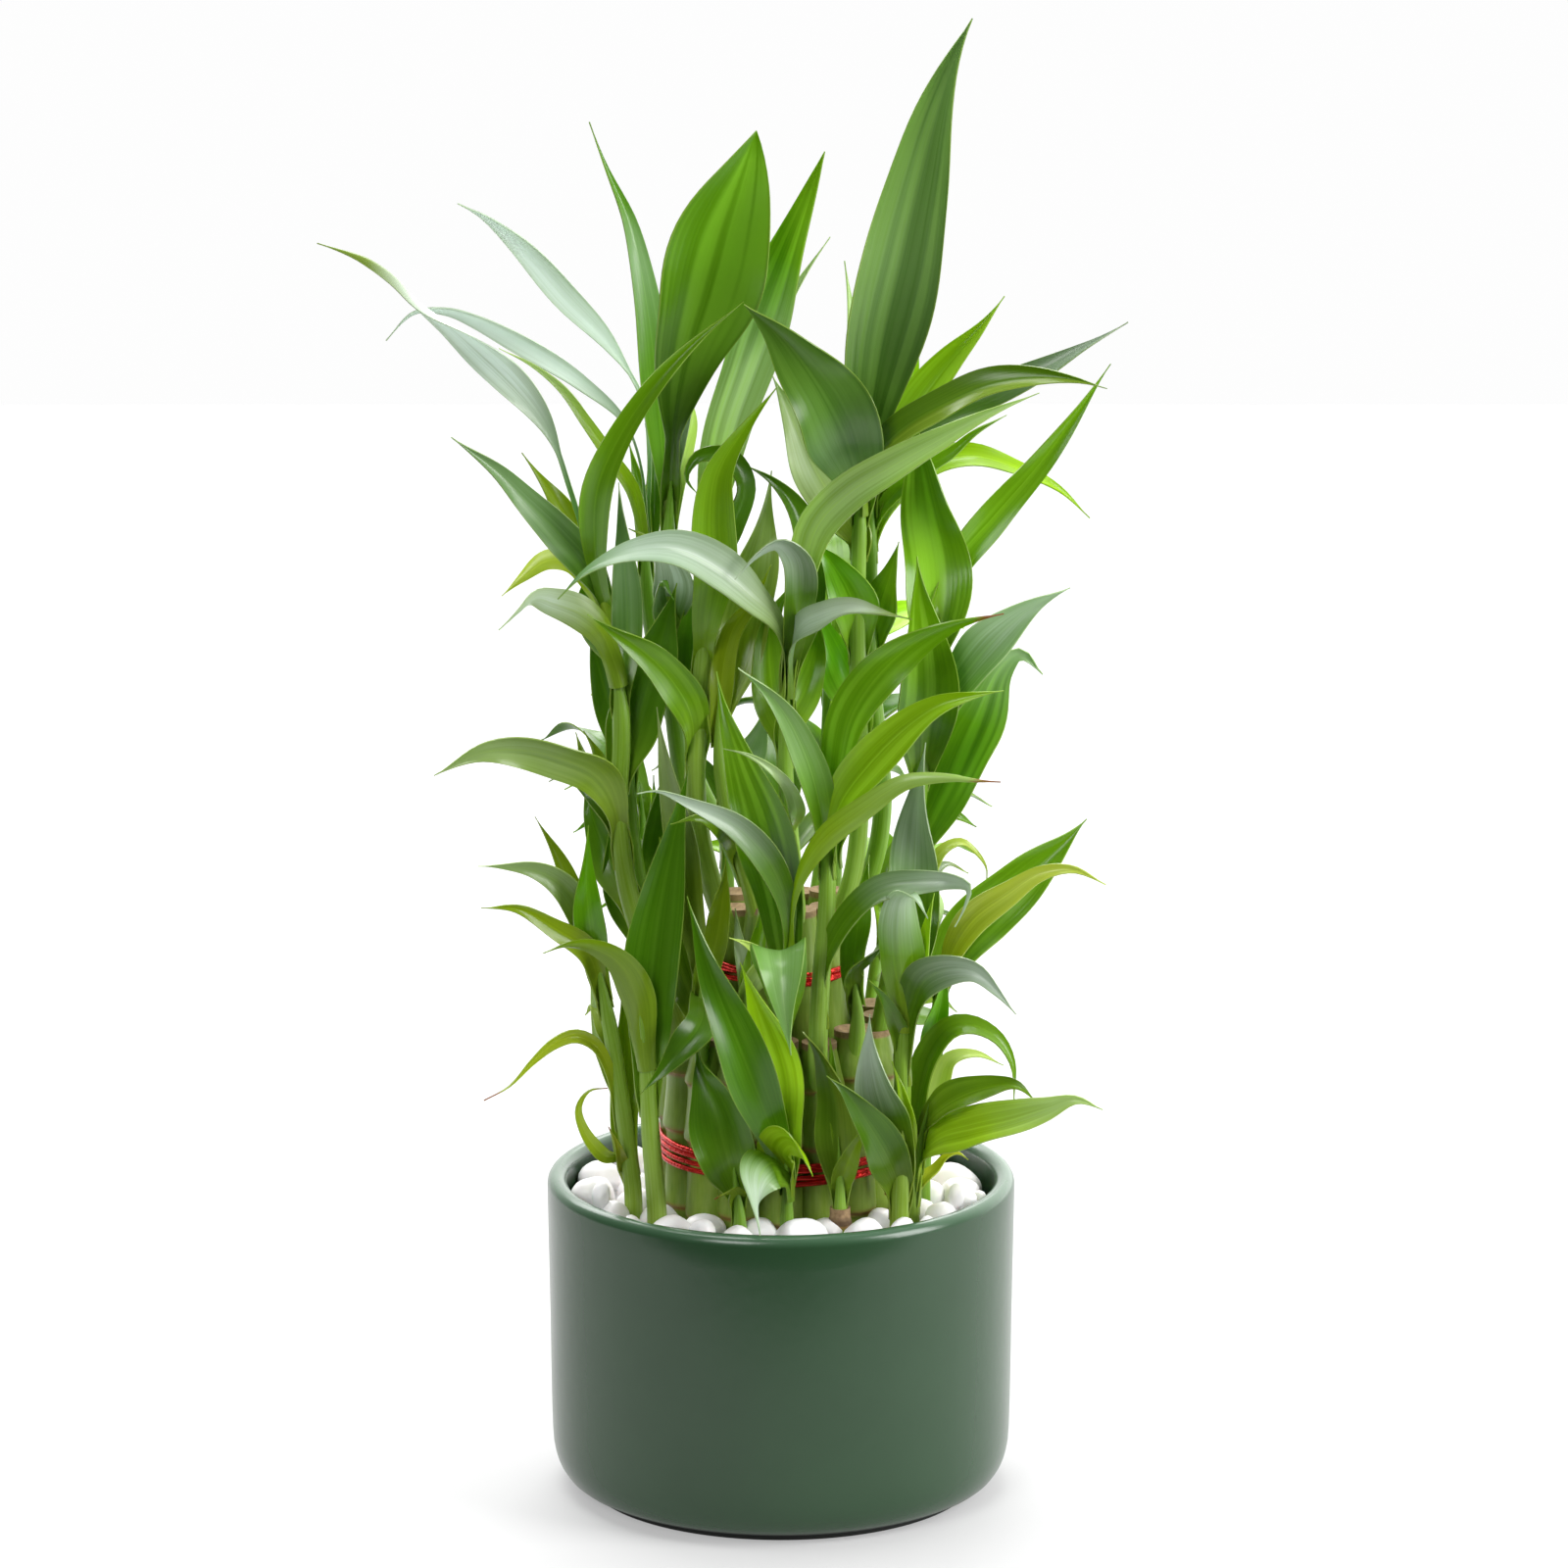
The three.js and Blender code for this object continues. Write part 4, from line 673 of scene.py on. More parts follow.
tip_cut = 0.6  # how much shorter a blade is than its midrib
sway_angle = math.radians(9)  # how much a blade rocks from side to side along its length
grown = np.random.default_rng(5)
towards_eye = Vector((0, -math.cos(eye_tilt), math.sin(eye_tilt)))


def leaf_share(along, neck, full):
    """Half a leaf's width along it, as a share: a narrow neck, a swell, and a drawn-out tip. A
    full leaf is broad up to a short tip."""
    t = np.clip((along - neck) / (1 - neck), 0, 1)
    rising, falling, neck_share = 1.3, 1.6 - 0.8 * full, 0.14
    peak = rising / (rising + falling)
    swell = t**rising * (1 - t) ** falling / (peak**rising * (1 - peak) ** falling)
    return swell + neck_share * (1 - t) ** 2


def across_line(tangents, facing, roll):
    """Which way a leaf is broad at each point of its midrib. It is turned to face one way a little
    below the middle, and carried on from there to both ends without a twist."""
    count = len(tangents)
    middle = round((count - 1) * 0.45)
    sides = [None] * count
    first = Vector(tangents[middle]).cross(Vector(facing)).normalized()
    sides[middle] = Quaternion(Vector(tangents[middle]), math.radians(roll)) @ first
    for order in (range(middle, count - 1), range(middle, 0, -1)):
        for i in order:
            turn = Vector(tangents[i]).rotation_difference(Vector(tangents[i + order.step]))
            sides[i + order.step] = turn @ sides[i]
    return np.array(sides)


def leaf_points(width, roll, neck, spine, facing, girth, twist, full):
    """A leaf's rows of points across it, set along its midrib, and how broad each row looks. The
    base clasps the stem in a sheath, which opens out into a blade with a shallow keel and waved
    edges, and the blade twists towards its tip."""
    twist_from, twist_run, sway_run, sways = 0.5, 0.4, 0.4, 7
    blade_fold, tip_fold, keel, edge_wave, edge_sway = 0.32, 0.3, 0.15, 0.17, 0.07
    spine = [np.array(p, float) for p in spine]
    last = spine[-2] - spine[-1]
    spine[-1] = spine[-1] + last * tip_cut / np.linalg.norm(last)
    count = leaf_rows if abs(twist) < fine_twist else 3 * leaf_rows
    middle_line, length = curve_through(spine, count)
    tangents = np.gradient(middle_line, axis=0)
    tangents /= np.linalg.norm(tangents, axis=1)[:, None]
    share = np.linspace(0, 1, count)
    turn = np.radians(twist) * np.clip((share - twist_from) / twist_run, 0, 1) ** 1.5
    swaying = sway_angle * np.sin(sways * share + grown.uniform(0, 6))
    turn = turn + swaying * np.clip(share / sway_run, 0, 1)
    flat = across_line(tangents, facing, roll)
    upright = np.cross(flat, tangents)
    across = flat * np.cos(turn)[:, None] + upright * np.sin(turn)[:, None]
    normal = np.cross(across, tangents)
    clasp = np.exp(-((share * length / clasp_run) ** 2))
    free = (1 - clasp)[:, None]
    base = min(1.7 * girth, 0.44 * width)
    sheath = base * np.exp(-((share * length / sheath_widens) ** 2))
    half = np.hypot(width / 2 * leaf_share(share, neck, full), sheath)[:, None]
    fold = (blade_fold + (base / girth - blade_fold) * clasp + tip_fold * share**3)[:, None]
    place = np.linspace(-1, 1, leaf_columns)[None, :]
    left, right = (
        np.sin(grown.uniform(8, 15) * share + grown.uniform(0, 6))[:, None] for _ in range(2)
    )
    wave = free * half * place**2 * np.where(place < 0, edge_wave * right, edge_wave * left)
    half = half * (1 + free * edge_sway * np.where(place < 0, left, right))
    out = half * np.sin(place * fold) / fold
    out = np.maximum(np.abs(out), 0.1 * np.abs(place)) * np.sign(place)
    lift = half * ((1 - np.cos(place * fold)) / fold + keel * free * np.abs(place)) + wave
    hold = girth + 0.1 + 0.5 * (1 - clasp)
    lift = lift - (hold * clasp)[:, None]
    points = middle_line[:, None, :] + out[..., None] * across[:, None, :]
    points = points + lift[..., None] * normal[:, None, :]
    return points, half[:, -1] * np.abs(np.cos(turn)) ** 1.5


def blend(first, second, share):
    """Numbers between two lists of them."""
    return [low + (high - low) * share for low, high in zip(first, second)]


def clamped(value):
    """A share held between 0 and 1."""
    return min(1, max(0, value))


def leaf_paint(points, breadths, look, stem_colour):
    """A leaf's tints and marks, point by point. A tint is a colour and how broad the leaf looks
    there. A mark is how striped and dry it is, how much painted sheen it has, and a number of the leaf's
    own."""
    brightened, bright_limit, broad, lit_half_colour = 1.045, 250, 12, (104, 138, 36)
    stem_tone, middle_sheen, edge_sheen_loss = 0.9, 1.12, 0.42
    colour, striped, dry, pale, sheen_from, *ends = leaf_looks[look]
    sheen_to, upper = ends or (1.3, colour)
    shift = brightened * grown.uniform(0.92, 1.08)
    warm = grown.uniform(0.02, 0.1)
    seed = grown.uniform(0, 1)
    length = np.linalg.norm(points[1:, 0] - points[:-1, 0], axis=1).sum()
    tints, marks = [], []
    for i in range(len(points)):
        along = i / (len(points) - 1)
        upward = clamped((along - 0.3) / 0.4)
        young = stem_tone * max(0, 1 - along * length / sheath_fade)
        # The painted sheen, a grey-white highlight mixed into the colour, rises along the leaf from where
        # it starts and fades before where it ends.
        sheen_share = clamped((along - sheen_from) / 0.3) * clamped((sheen_to - along) / 0.15)
        for j in range(leaf_columns):
            side = j / (leaf_columns - 1)
            # For the half look, one side of the blade takes a lighter colour, as painted light on that
            # side of the fold.
            own = lit_half_colour if look == "half" and side > 0.5 else blend(colour, upper, upward)
            red, green, blue = (part * shift for part in blend(own, stem_colour, young))
            red, green = min(red * (1 + warm), bright_limit), min(green, bright_limit)
            tints.append(linear(red, green, blue, min(1, breadths[i] / broad)))
            # The painted sheen is strongest along the middle of the blade and weaker towards its edges.
            middling = middle_sheen - edge_sheen_loss * (2 * side - 1) ** 2
            marks.append((striped, dry, pale * sheen_share * middling, seed))
    return tints, marks


def leaves_piece(name, rows):
    """All leaves of a shoot, each a grid of points that is given thickness."""
    verts, faces, tints, marks, places = [], [], [], [], []
    for points, breadths, look, stem_colour in rows:
        base, count = len(verts), len(points)
        verts += [point * MM for point in points.reshape(-1, 3)]
        leaf_tints, leaf_marks = leaf_paint(points, breadths, look, stem_colour)
        tints += leaf_tints
        marks += leaf_marks
        places += [
            (j / (leaf_columns - 1), i / (count - 1)) for i in range(count) for j in range(leaf_columns)
        ]
        for i in range(count - 1):
            for j in range(leaf_columns - 1):
                a = base + i * leaf_columns + j
                faces.append((a, a + 1, a + leaf_columns + 1, a + leaf_columns))
    mesh = bpy.data.meshes.new(name)
    mesh.from_pydata(verts, [], faces)
    layer = mesh.uv_layers.new(name="leaf_place")
    for loop in mesh.loops:
        layer.data[loop.index].uv = places[loop.vertex_index]
    for label, values in (("leaf_tint", tints), ("leaf_marks", marks)):
        attribute = mesh.color_attributes.new(label, "FLOAT_COLOR", "POINT")
        attribute.data.foreach_set("color", np.array(values, np.float32).ravel())
    piece = bpy.data.objects.new(name, mesh)
    bpy.context.collection.objects.link(piece)
    thick = piece.modifiers.new("thickness", "SOLIDIFY")
    thick.thickness, thick.offset = leaf_thickness * MM, 0
    only(piece)
    bpy.ops.object.modifier_apply(modifier=thick.name)
    piece.data.materials.append(leaf_green)
    shade_smooth(piece, degrees=50)
    return piece


def toned(tree, colour, hue, saturation, value):
    """A colour with its hue moved from 0.5 and its strength and brightness multiplied."""
    inputs = {"Hue": hue, "Saturation": saturation, "Value": value}
    return node(tree, "HueSaturation", Color=colour, **inputs).outputs[0]


leaf_green, shader, tree = new_material("leaf_green", linear(60, 110, 50), roughness=0.25, specular=0.47)
tints = node(tree, "Attribute", {"attribute_name": "leaf_tint"})
tint, breadth = tints.outputs["Color"], tints.outputs["Alpha"]
marks = node(tree, "Attribute", {"attribute_name": "leaf_marks"})
mark = node(tree, "SeparateColor", Color=marks.outputs["Color"]).outputs
place = node(tree, "UVMap", {"uv_map": "leaf_place"}).outputs[0]
spot = node(tree, "SeparateXYZ", Vector=place).outputs
# Each leaf has its own cut of the patterns, which are drawn out along it.
own_cut = arithmetic(tree, "MULTIPLY", marks.outputs["Alpha"], 37)
shifted = node(tree, "CombineXYZ", X=spot["X"], Y=spot["Y"], Z=own_cut).outputs[0]
vein_place = node(tree, "Mapping", Vector=shifted, Scale=(26, 1.2, 1)).outputs[0]
vein = noise(tree, vein_place, scale=1, detail=2)
band_place = node(tree, "Mapping", Vector=shifted, Scale=(5.5, 0.7, 1)).outputs[0]
band = noise(tree, band_place, scale=1, detail=1)
off_middle = arithmetic(tree, "ABSOLUTE", arithmetic(tree, "SUBTRACT", spot["X"], 0.5))
# Where a leaf looks narrow its patterns fade out.
clear = ranged(tree, breadth, (0.12, 0.5))
lighter = toned(tree, tint, hue=0.49, saturation=0.95, value=1.55)
darker = toned(tree, tint, hue=0.505, saturation=1.05, value=0.72)
valley, crest = mixed(tree, 0.4, tint, darker), mixed(tree, 0.2, tint, lighter)
veined = mixed(tree, clear, tint, mixed(tree, ranged(tree, vein, (0.3, 0.7)), valley, crest))
striped = arithmetic(tree, "MULTIPLY", ranged(tree, band, (0.48, 0.6)), mark["Red"])
striped = arithmetic(tree, "MULTIPLY", striped, clear)
banded = mixed(tree, striped, veined, lighter)
ribbed = mixed(tree, ranged(tree, off_middle, (0.012, 0.03), (0.3, 0)), banded, lighter)
edge = ranged(tree, off_middle, (0.478, 0.498), (0, 0.45))
edged = mixed(tree, edge, ribbed, linear(164, 188, 84))
# The blue mark lays the painted sheen on the leaf: a grey-white highlight mixed into its colour, streaked
# by the veins and patchy, for the white room reflected in the gloss.
sheen_veining = between(tree, clear, 0.85, ranged(tree, vein, (0.25, 0.65), (0.65, 1)))
patch = between(tree, clear, 0.9, ranged(tree, band, (0.36, 0.56), (0.7, 1)))
sheen_share = arithmetic(tree, "MULTIPLY", patch, sheen_veining)
sheen_share = arithmetic(tree, "MULTIPLY", mark["Blue"], sheen_share)
sheened = mixed(tree, sheen_share, edged, linear(220, 232, 224))
ragged = noise(tree, shifted, scale=9, detail=3)
dry_from = arithmetic(tree, "MULTIPLY_ADD", ragged, 0.12, spot["Y"])
dried = arithmetic(tree, "MULTIPLY", ranged(tree, dry_from, (0.975, 1.01)), mark["Green"])
leaf_colour = mixed(tree, dried, sheened, linear(150, 96, 44))
tree.links.new(leaf_colour, shader.inputs["Base Color"])
embossed(tree, shader, vein, strength=ranged(tree, breadth, (0.16, 0.8), (0, 0.8)), distance=0.12)
through_colour = toned(tree, leaf_colour, hue=0.49, saturation=1.1, value=1.2)
shine_through, through_share = node(tree, "BsdfTranslucent", Color=through_colour), 0.3
both = node(
    tree, "MixShader", _0=through_share, _1=shader.outputs[0], _2=shine_through.outputs[0]
)
tree.links.new(both.outputs[0], tree.nodes["Material Output"].inputs["Surface"])

stem_green, shader, tree = new_material("stem_green", linear(120, 156, 66), roughness=0.42)
tint = node(tree, "Attribute", {"attribute_name": "stem_tint"}).outputs["Color"]
place = node(tree, "UVMap", {"uv_map": "stem_place"}).outputs[0]
fibre_place = node(tree, "Mapping", Vector=place, Scale=(16, 1.2, 1)).outputs[0]
fibre = noise(tree, fibre_place, scale=1, detail=3)
darker = toned(tree, tint, hue=0.5, saturation=1.1, value=0.86)
lighter = toned(tree, tint, hue=0.5, saturation=0.95, value=1.15)
stem_skin = mixed(tree, ranged(tree, fibre, (0.3, 0.7)), darker, lighter)
tree.links.new(stem_skin, shader.inputs["Base Color"])
embossed(tree, shader, fibre, strength=0.3, distance=0.4)
stem_colours = {
    "green": (116, 156, 40), "pale": (154, 188, 78), "olive": (136, 162, 54), "yellow": (166, 192, 84),
}
stem_top = (104, 146, 38)
stem_steps, stem_sides, young_roll, stem_taper = 44, 12, 26, 0.25


def stem_colour_at(colour, up):
    """The colour of a stem at a share of its length, from its own to that of the top."""
    return blend(stem_colours[colour], stem_top, 0.85 * up)


def stem_piece(name, line, length, girth, colour):
    """A shoot's stem: a tube that thins upward and closes in a rolled young leaf."""
    share = np.linspace(0, 1, stem_steps)
    rolled = np.clip((1 - share) * length / young_roll, 0.05, 1) ** 0.9
    piece = tube(name, line, girth * (1 - stem_taper * share) * rolled, stem_sides)
    mesh = piece.data
    layer = mesh.uv_layers.new(name="stem_place")
    for loop in mesh.loops:
        ring, step = divmod(loop.vertex_index, stem_sides)
        layer.data[loop.index].uv = (abs(step / (stem_sides / 2) - 1), ring / stem_steps * length / 40)
    attribute = mesh.color_attributes.new("stem_tint", "FLOAT_COLOR", "POINT")
    for vertex, value in zip(mesh.vertices, attribute.data):
        up = vertex.index // stem_sides / stem_steps
        fade = 1 + 0.03 * math.sin(9 * up + len(name))
        value.color = linear(*(fade * part for part in stem_colour_at(colour, up)))
    piece.data.materials.append(stem_green)
    shade_smooth(piece, degrees=50)
    return piece


def dressed(node_name, prefix, path, girth, colour, leaves):
    """The stem and the leaves of a stalk, both standing for its node. Each leaf's sheath starts
    some way down the stem."""
    line, stem_length = curve_through(path, stem_steps)
    stem = stem_piece(f"{prefix}_stem", line, stem_length, girth, colour)
    rows = []
    for width, roll, neck, look, spine, facing, *more in leaves:
        root = int(np.linalg.norm(line - np.array(spine[0], float), axis=1).argmin())
        lower = max(0, root - max(1, round(sheath_run / stem_length * (stem_steps - 1))))
        up = lower / (stem_steps - 1)
        twist = more[0] if more else grown.uniform(-45, 45)
        full = more[1] if len(more) > 1 else 0
        held = girth * (1 - stem_taper * up)
        spine = [line[lower], *spine]
        points, breadths = leaf_points(width, roll, neck, spine, facing, held, twist, full)
        rows.append((points, breadths, look, stem_colour_at(colour, up)))
    foliage = leaves_piece(f"{prefix}_leaves", rows)
    for piece in (stem, foliage):
        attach(piece, "root")
        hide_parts(node_name)


def traced(rows):
    """Leaf rows with their midribs put in place, seen from the front."""
    return [
        (width, roll, neck, look, [seen(p) for p in spine], towards_eye, *more)
        for width, roll, neck, look, spine, *more in rows
    ]


# How thick a shoot is at its foot and the colour of its stem, where they aren't the plain ones.
shoot_girth = {
    "outer_1": (3.0, "green"), "outer_2": (3.6, "pale"), "outer_3": (3.2, "pale"),
    "outer_4": (3.4, "green"), "outer_13": (3.0, "green"), "outer_14": (3.9, "olive"),
    "inner_1": (3.2, "pale"), "inner_2": (3.4, "pale"), "inner_3": (3.4, "green"),
    "inner_5": (3.2, "green"), "inner_6": (3.4, "green"), "inner_7": (3.9, "yellow"),
    "inner_8": (3.0, "olive"),
}
plain_shoot = (2.8, "green")


def side_shoots(tier_name, tier, shoots):
    """Dresses the shoots of a tier, each of which starts on its cane's axis."""
    for index, (height, stem, leaves) in shoots.items():
        x, y = on_ring(tier, index)
        girth, colour = shoot_girth.get(f"{tier_name}_{index + 1}", plain_shoot)
        path = [(x, y, height)] + [seen(p) for p in stem]
        dressed(f"{tier_name}_stalk_{index + 1}", f"{tier_name}_shoot_{index + 1}", path, girth,
            colour, traced(leaves))


side_shoots("outer", outer_tier, outer_shoots)

# Leafy shoots of the inner tier
# The same growth on the taller canes. These carry the long leaves at the top of the plant.
inner_shoots = {
    0: (192, [(5, 203, -21), (3, 225, -22), (1.5, 245, -23), (2, 265, -24), (3, 283, -25)], [
        (14, 35, 0.12, "arch_sheen", [(2.5, 276, -25), (-1, 293, -32), (-10, 302, -38), (-22, 312, -44),
            (-36, 318.5, -50), (-52, 317.5, -56), (-66, 311, -62), (-76, 301.5, -66)]),
        (10, -40, 0.1, "pale_sheen", [(2.5, 277, -25), (7, 292, -33), (14, 296, -40), (24, 298.5, -48),
            (34, 297, -54), (45, 295, -60)]),
        (13, -20, 0.1, "pale_green", [(2.3, 270, -24), (7, 293, -23), (8, 311, -23), (12, 326, -24),
            (22, 337, -28), (38, 347, -35), (54, 356, -40), (70, 364.5, -43), (88, 372, -45)]),
        (12, 15, 0, "dark", [(2.8, 278, -24), (9, 303, -16), (9, 321, -13), (4, 334, -13),
            (-3, 342, -14), (-13, 348, -15)]),
        (11, 25, 0, "mid_pale_end", [(2.8, 280, -26), (6, 303, -32), (5, 316, -37), (-1, 321, -41),
            (-8, 317, -43), (-16, 308, -45)]),
        (14, 5, 0, "mid", [(1.8, 254, -22), (-2, 267, -15), (-4, 282, -12), (-3, 295, -10),
            (4, 308, -8)]),
        (11, 0, 0, "mid", [(2, 258, -23), (8, 271, -15), (12, 285, -11), (13, 301, -9)]),
        (5.5, 20, 0, "grey", [(3, 220, -22), (5, 231, -40), (2, 239, -49), (-4, 245, -53),
            (-12, 249.5, -54), (-20, 251.5, -54)]),
    ]),
    1: (194, [(23, 204, -9), (26, 220, -9), (27, 245, -10), (26, 275, -11), (26, 305, -12),
        (27, 335, -12), (28, 350, -12)], [
        (26.5, 5, 0.02, "mid_stripe", [(27.5, 342, -12), (30, 365, -15), (34, 390, -17),
            (40, 415, -19), (46, 440, -21), (53, 467, -23), (60, 488, -24), (65, 499, -25)], 25, 0.25),
        (25, -10, 0, "deep_teal", [(27, 336, -13), (25, 347, -21), (20, 361, -28), (10.5, 377.5, -34),
            (0, 391, -39), (-13, 402, -42)], 10, 0.3),
        (8, 10, 0, "grey", [(27.3, 336, -12), (26, 370, -2), (24.5, 392, 2), (21.5, 417, 5)]),
        (18, 10, 0, "grey", [(26.5, 322, -11), (20, 332, -6), (12, 345, -2), (5, 360, 1),
            (-3, 378, 3)]),
        (15, 10, 0, "fresh", [(26, 288, -12), (24, 302, -16), (18, 313, -17), (9, 323, -17)]),
        (13, 5, 0, "fresh", [(26.5, 262, -10), (20, 276, -2), (14, 291, 2), (10, 307, 4)]),
        (14, -35, 0, "half", [(27.2, 338, -13), (33, 351, -22), (42, 360, -27), (56, 368, -31),
            (72, 374.5, -34), (88, 377, -36), (100, 376, -38), (111, 373, -39)]),
    ]),
    2: (190, [(26, 200, 5), (32, 215, 3), (34.5, 235, 2), (32.5, 257, 2), (30.5, 280, 2),
        (30, 310, 3), (31, 345, 4)], [
        (12, -20, 0.05, "dark_pale_tip", [(30.8, 338, 4), (42, 355, 2), (58, 366, 0), (76, 374, -2),
            (92, 381, -4), (105, 388, -6), (118, 396, -8)]),
        (14, -10, 0, "bright", [(30.7, 334, 4), (40, 358, 9), (48, 370, 11), (58, 383, 13),
            (68, 394, 14), (76, 405, 15)]),
        (11, -5, 0, "bright", [(30.6, 332, 4), (36, 352, 15), (41, 366, 20), (45, 380, 23),
            (47, 392, 25)]),
        (10, -30, 0.05, "bright", [(30.3, 322, 4), (42, 340, 9), (54, 348, 12), (66, 350, 13),
            (80, 346, 15), (94, 339, 16), (105, 329, 17)]),
        (5.5, -20, 0, "mid", [(30.3, 326, 3), (45, 344, 1), (57, 351, 2), (66, 358.5, 3),
            (77, 364.5, 4)]),
        (12, -10, 0, "mid", [(30, 286, 2), (33, 298, -1), (37, 310, -2), (40, 322, -3)]),
    ]),
    4: (192, [(-15, 214, 17), (-28, 240, 13), (-39, 270, 11), (-45, 300, 10), (-46, 331, 9)], [
        (9.5, 15, 0.46, "silver", [(-45.8, 322, 9), (-44.5, 350, 13), (-47, 370, 16), (-58, 388, 19),
            (-73, 404, 23), (-88, 421, 27), (-100, 431, 30), (-110, 436, 32)], 45),
        (6.5, 10, 0.32, "silver", [(-45.8, 320, 9), (-47, 345, 6), (-53, 362, 6), (-68, 375, 8),
            (-85, 386, 10), (-103, 396, 12), (-113, 399.5, 13), (-124, 399, 15), (-134, 389, 18)], 70),
        (5, 10, 0, "bright_pale", [(-45.7, 316, 9), (-50, 338, 4), (-58, 350, 1), (-66, 362, -1),
            (-74, 373, -3), (-84, 381, -5), (-96, 387, -7)]),
        (6, 0, 0, "mid", [(-45.5, 312, 10), (-47, 332, 15), (-49, 345, 19), (-52, 357, 22)]),
        (6, 0, 0, "dark", [(-45.5, 314, 10), (-43, 335, 17), (-44, 350, 21), (-46, 362, 24)]),
    ]),
    5: (190, [(-23, 205, 4), (-31, 230, 2), (-36, 260, 0), (-38, 290, -1), (-38, 320, -2),
        (-37, 346, -3)], [
        (10, 10, 0.05, "teal_patch", [(-38, 322, -2), (-40, 350, 3), (-42.5, 378, 6), (-45.5, 402, 8),
            (-51, 428, 10), (-59, 447, 12), (-65, 464, 14)]),
        (33, 5, 0.2, "lit_deep", [(-37.3, 338, -3), (-36, 362, -11), (-32, 384, -17), (-25.5, 405, -21),
            (-19.5, 425, -24), (-13, 445, -26), (-8, 461, -27)], -20, 0.8),
        (5.5, 0, 0, "pale_sheen", [(-37, 342, -3), (-33, 365, -9), (-28, 380, -13), (-23, 393, -15)]),
        (8, 0, 0, "pale", [(-37.5, 332, -2), (-34, 350, 3), (-30, 362, 7), (-31, 373, 10)]),
        (13, -25, 0, "grey_sheen", [(-37, 296, -1), (-36, 310, -9), (-43, 322, -15), (-52, 326, -19)]),
        (10, 40, 0, "teal_patch", [(-37.5, 286, -1), (-42, 302, -10), (-40, 308, -16), (-36, 301, -20)]),
    ]),
    6: (190, [(-21, 198, -12), (-25, 211, -14), (-28, 226, -15), (-29, 245, -16), (-28, 262, -16),
        (-26, 285, -15), (-25, 310, -14), (-25, 331, -13)], [
        (13, 15, 0, "mid", [(-29, 248, -16), (-31, 264, -24), (-39, 277, -30), (-50, 287, -36),
            (-66, 297, -42)]),
        (14, -5, 0.05, "mid", [(-26.5, 278, -15), (-25, 295, -23), (-22.5, 312, -28),
            (-23, 330, -31), (-21, 345, -33), (-12, 360, -35), (-1, 374, -37)]),
        (18, -5, 0, "stripe_sheen", [(-25.5, 315, -14), (-23, 335, -11), (-18.5, 358, -9), (-11, 380, -10),
            (-2, 405, -12), (6.5, 430, -14), (15, 454, -16)], 15, 0.6),
        (8, 0, 0, "grey", [(-25, 320, -13), (-18, 350, 2), (-10, 375, 8), (-1, 397, 12),
            (8, 412, 14), (17, 425, 15)]),
        (15, 0, 0, "dark", [(-28, 256, -15), (-29, 275, -7), (-29, 296, -3), (-28, 318, -2)]),
        (9, 40, 0, "dark", [(-25.3, 308, -15), (-17, 326, -20), (-12.5, 340, -20),
            (-18, 349.5, -21), (-28, 350, -22), (-32, 343, -23), (-27, 336, -24)]),
    ]),
    7: (194, [(-11, 206, -19), (-17, 225, -20), (-21, 250, -20), (-21, 270, -20)], [
        (8, 5, 0, "olive", [(-21, 260, -20), (-19.3, 280, -18), (-16, 292, -17), (-9, 302, -18),
            (-3, 314, -19)]),
        (13, 0, 0, "teal", [(-17.5, 228, -19), (-13, 243, -8), (-8, 256, -3), (-4, 269, 0)]),
        (18, 0, 0, "olive_grey", [(-21, 262, -20), (-16, 282, -12), (-10, 303, -5), (-6, 325, 0),
            (-3, 346, 3)]),
        (8, 20, 0, "mid", [(-14, 214, -20), (-19.5, 224, -41), (-28, 228, -48),
            (-38, 225.5, -51)]),
    ]),
}
side_shoots("inner", inner_tier, inner_shoots)

# Leafy shoots behind
# The shoots on the far side, which the photograph hides, follow one rule: each leans outward from
# its cane, and its leaves arch away one above the other, turned to one side and the other.

# A row: the tier and its cane, which way the shoot leans in degrees, how high it rises, how far it
# leans, and its leaves as (degrees to the side, reach, width).
back_shoots = [
    ("outer", outer_tier, 5, 26, 100, 12,
        [(10, 32, 15), (-35, 22, 13), (20, 34, 12)]),
    ("outer", outer_tier, 6, 50, 62, 15,
        [(-5, 52, 14), (45, 44, 12), (-50, 30, 11)]),
    ("outer", outer_tier, 7, 72, 124, 16,
        [(10, 66, 17), (-50, 50, 13), (-20, 44, 14)]),
    ("outer", outer_tier, 8, 90, 76, 15,
        [(0, 62, 15), (-50, 44, 12), (50, 44, 12)]),
    ("outer", outer_tier, 9, 108, 134, 16,
        [(-12, 66, 17), (48, 52, 13), (20, 44, 14)]),
    ("outer", outer_tier, 10, 132, 66, 15,
        [(5, 52, 14), (-45, 44, 12), (50, 30, 11)]),
    ("outer", outer_tier, 11, 154, 98, 12,
        [(-10, 44, 15), (30, 26, 13), (-35, 46, 12)]),
    ("inner", inner_tier, 3, 68, 112, 22,
        [(25, 60, 18), (-40, 54, 16), (95, 40, 15)]),
]


def further(start, out, outward, up):
    """A point that lies so far out from a start and so high above it."""
    return start + out * outward + np.array([0, 0, up])


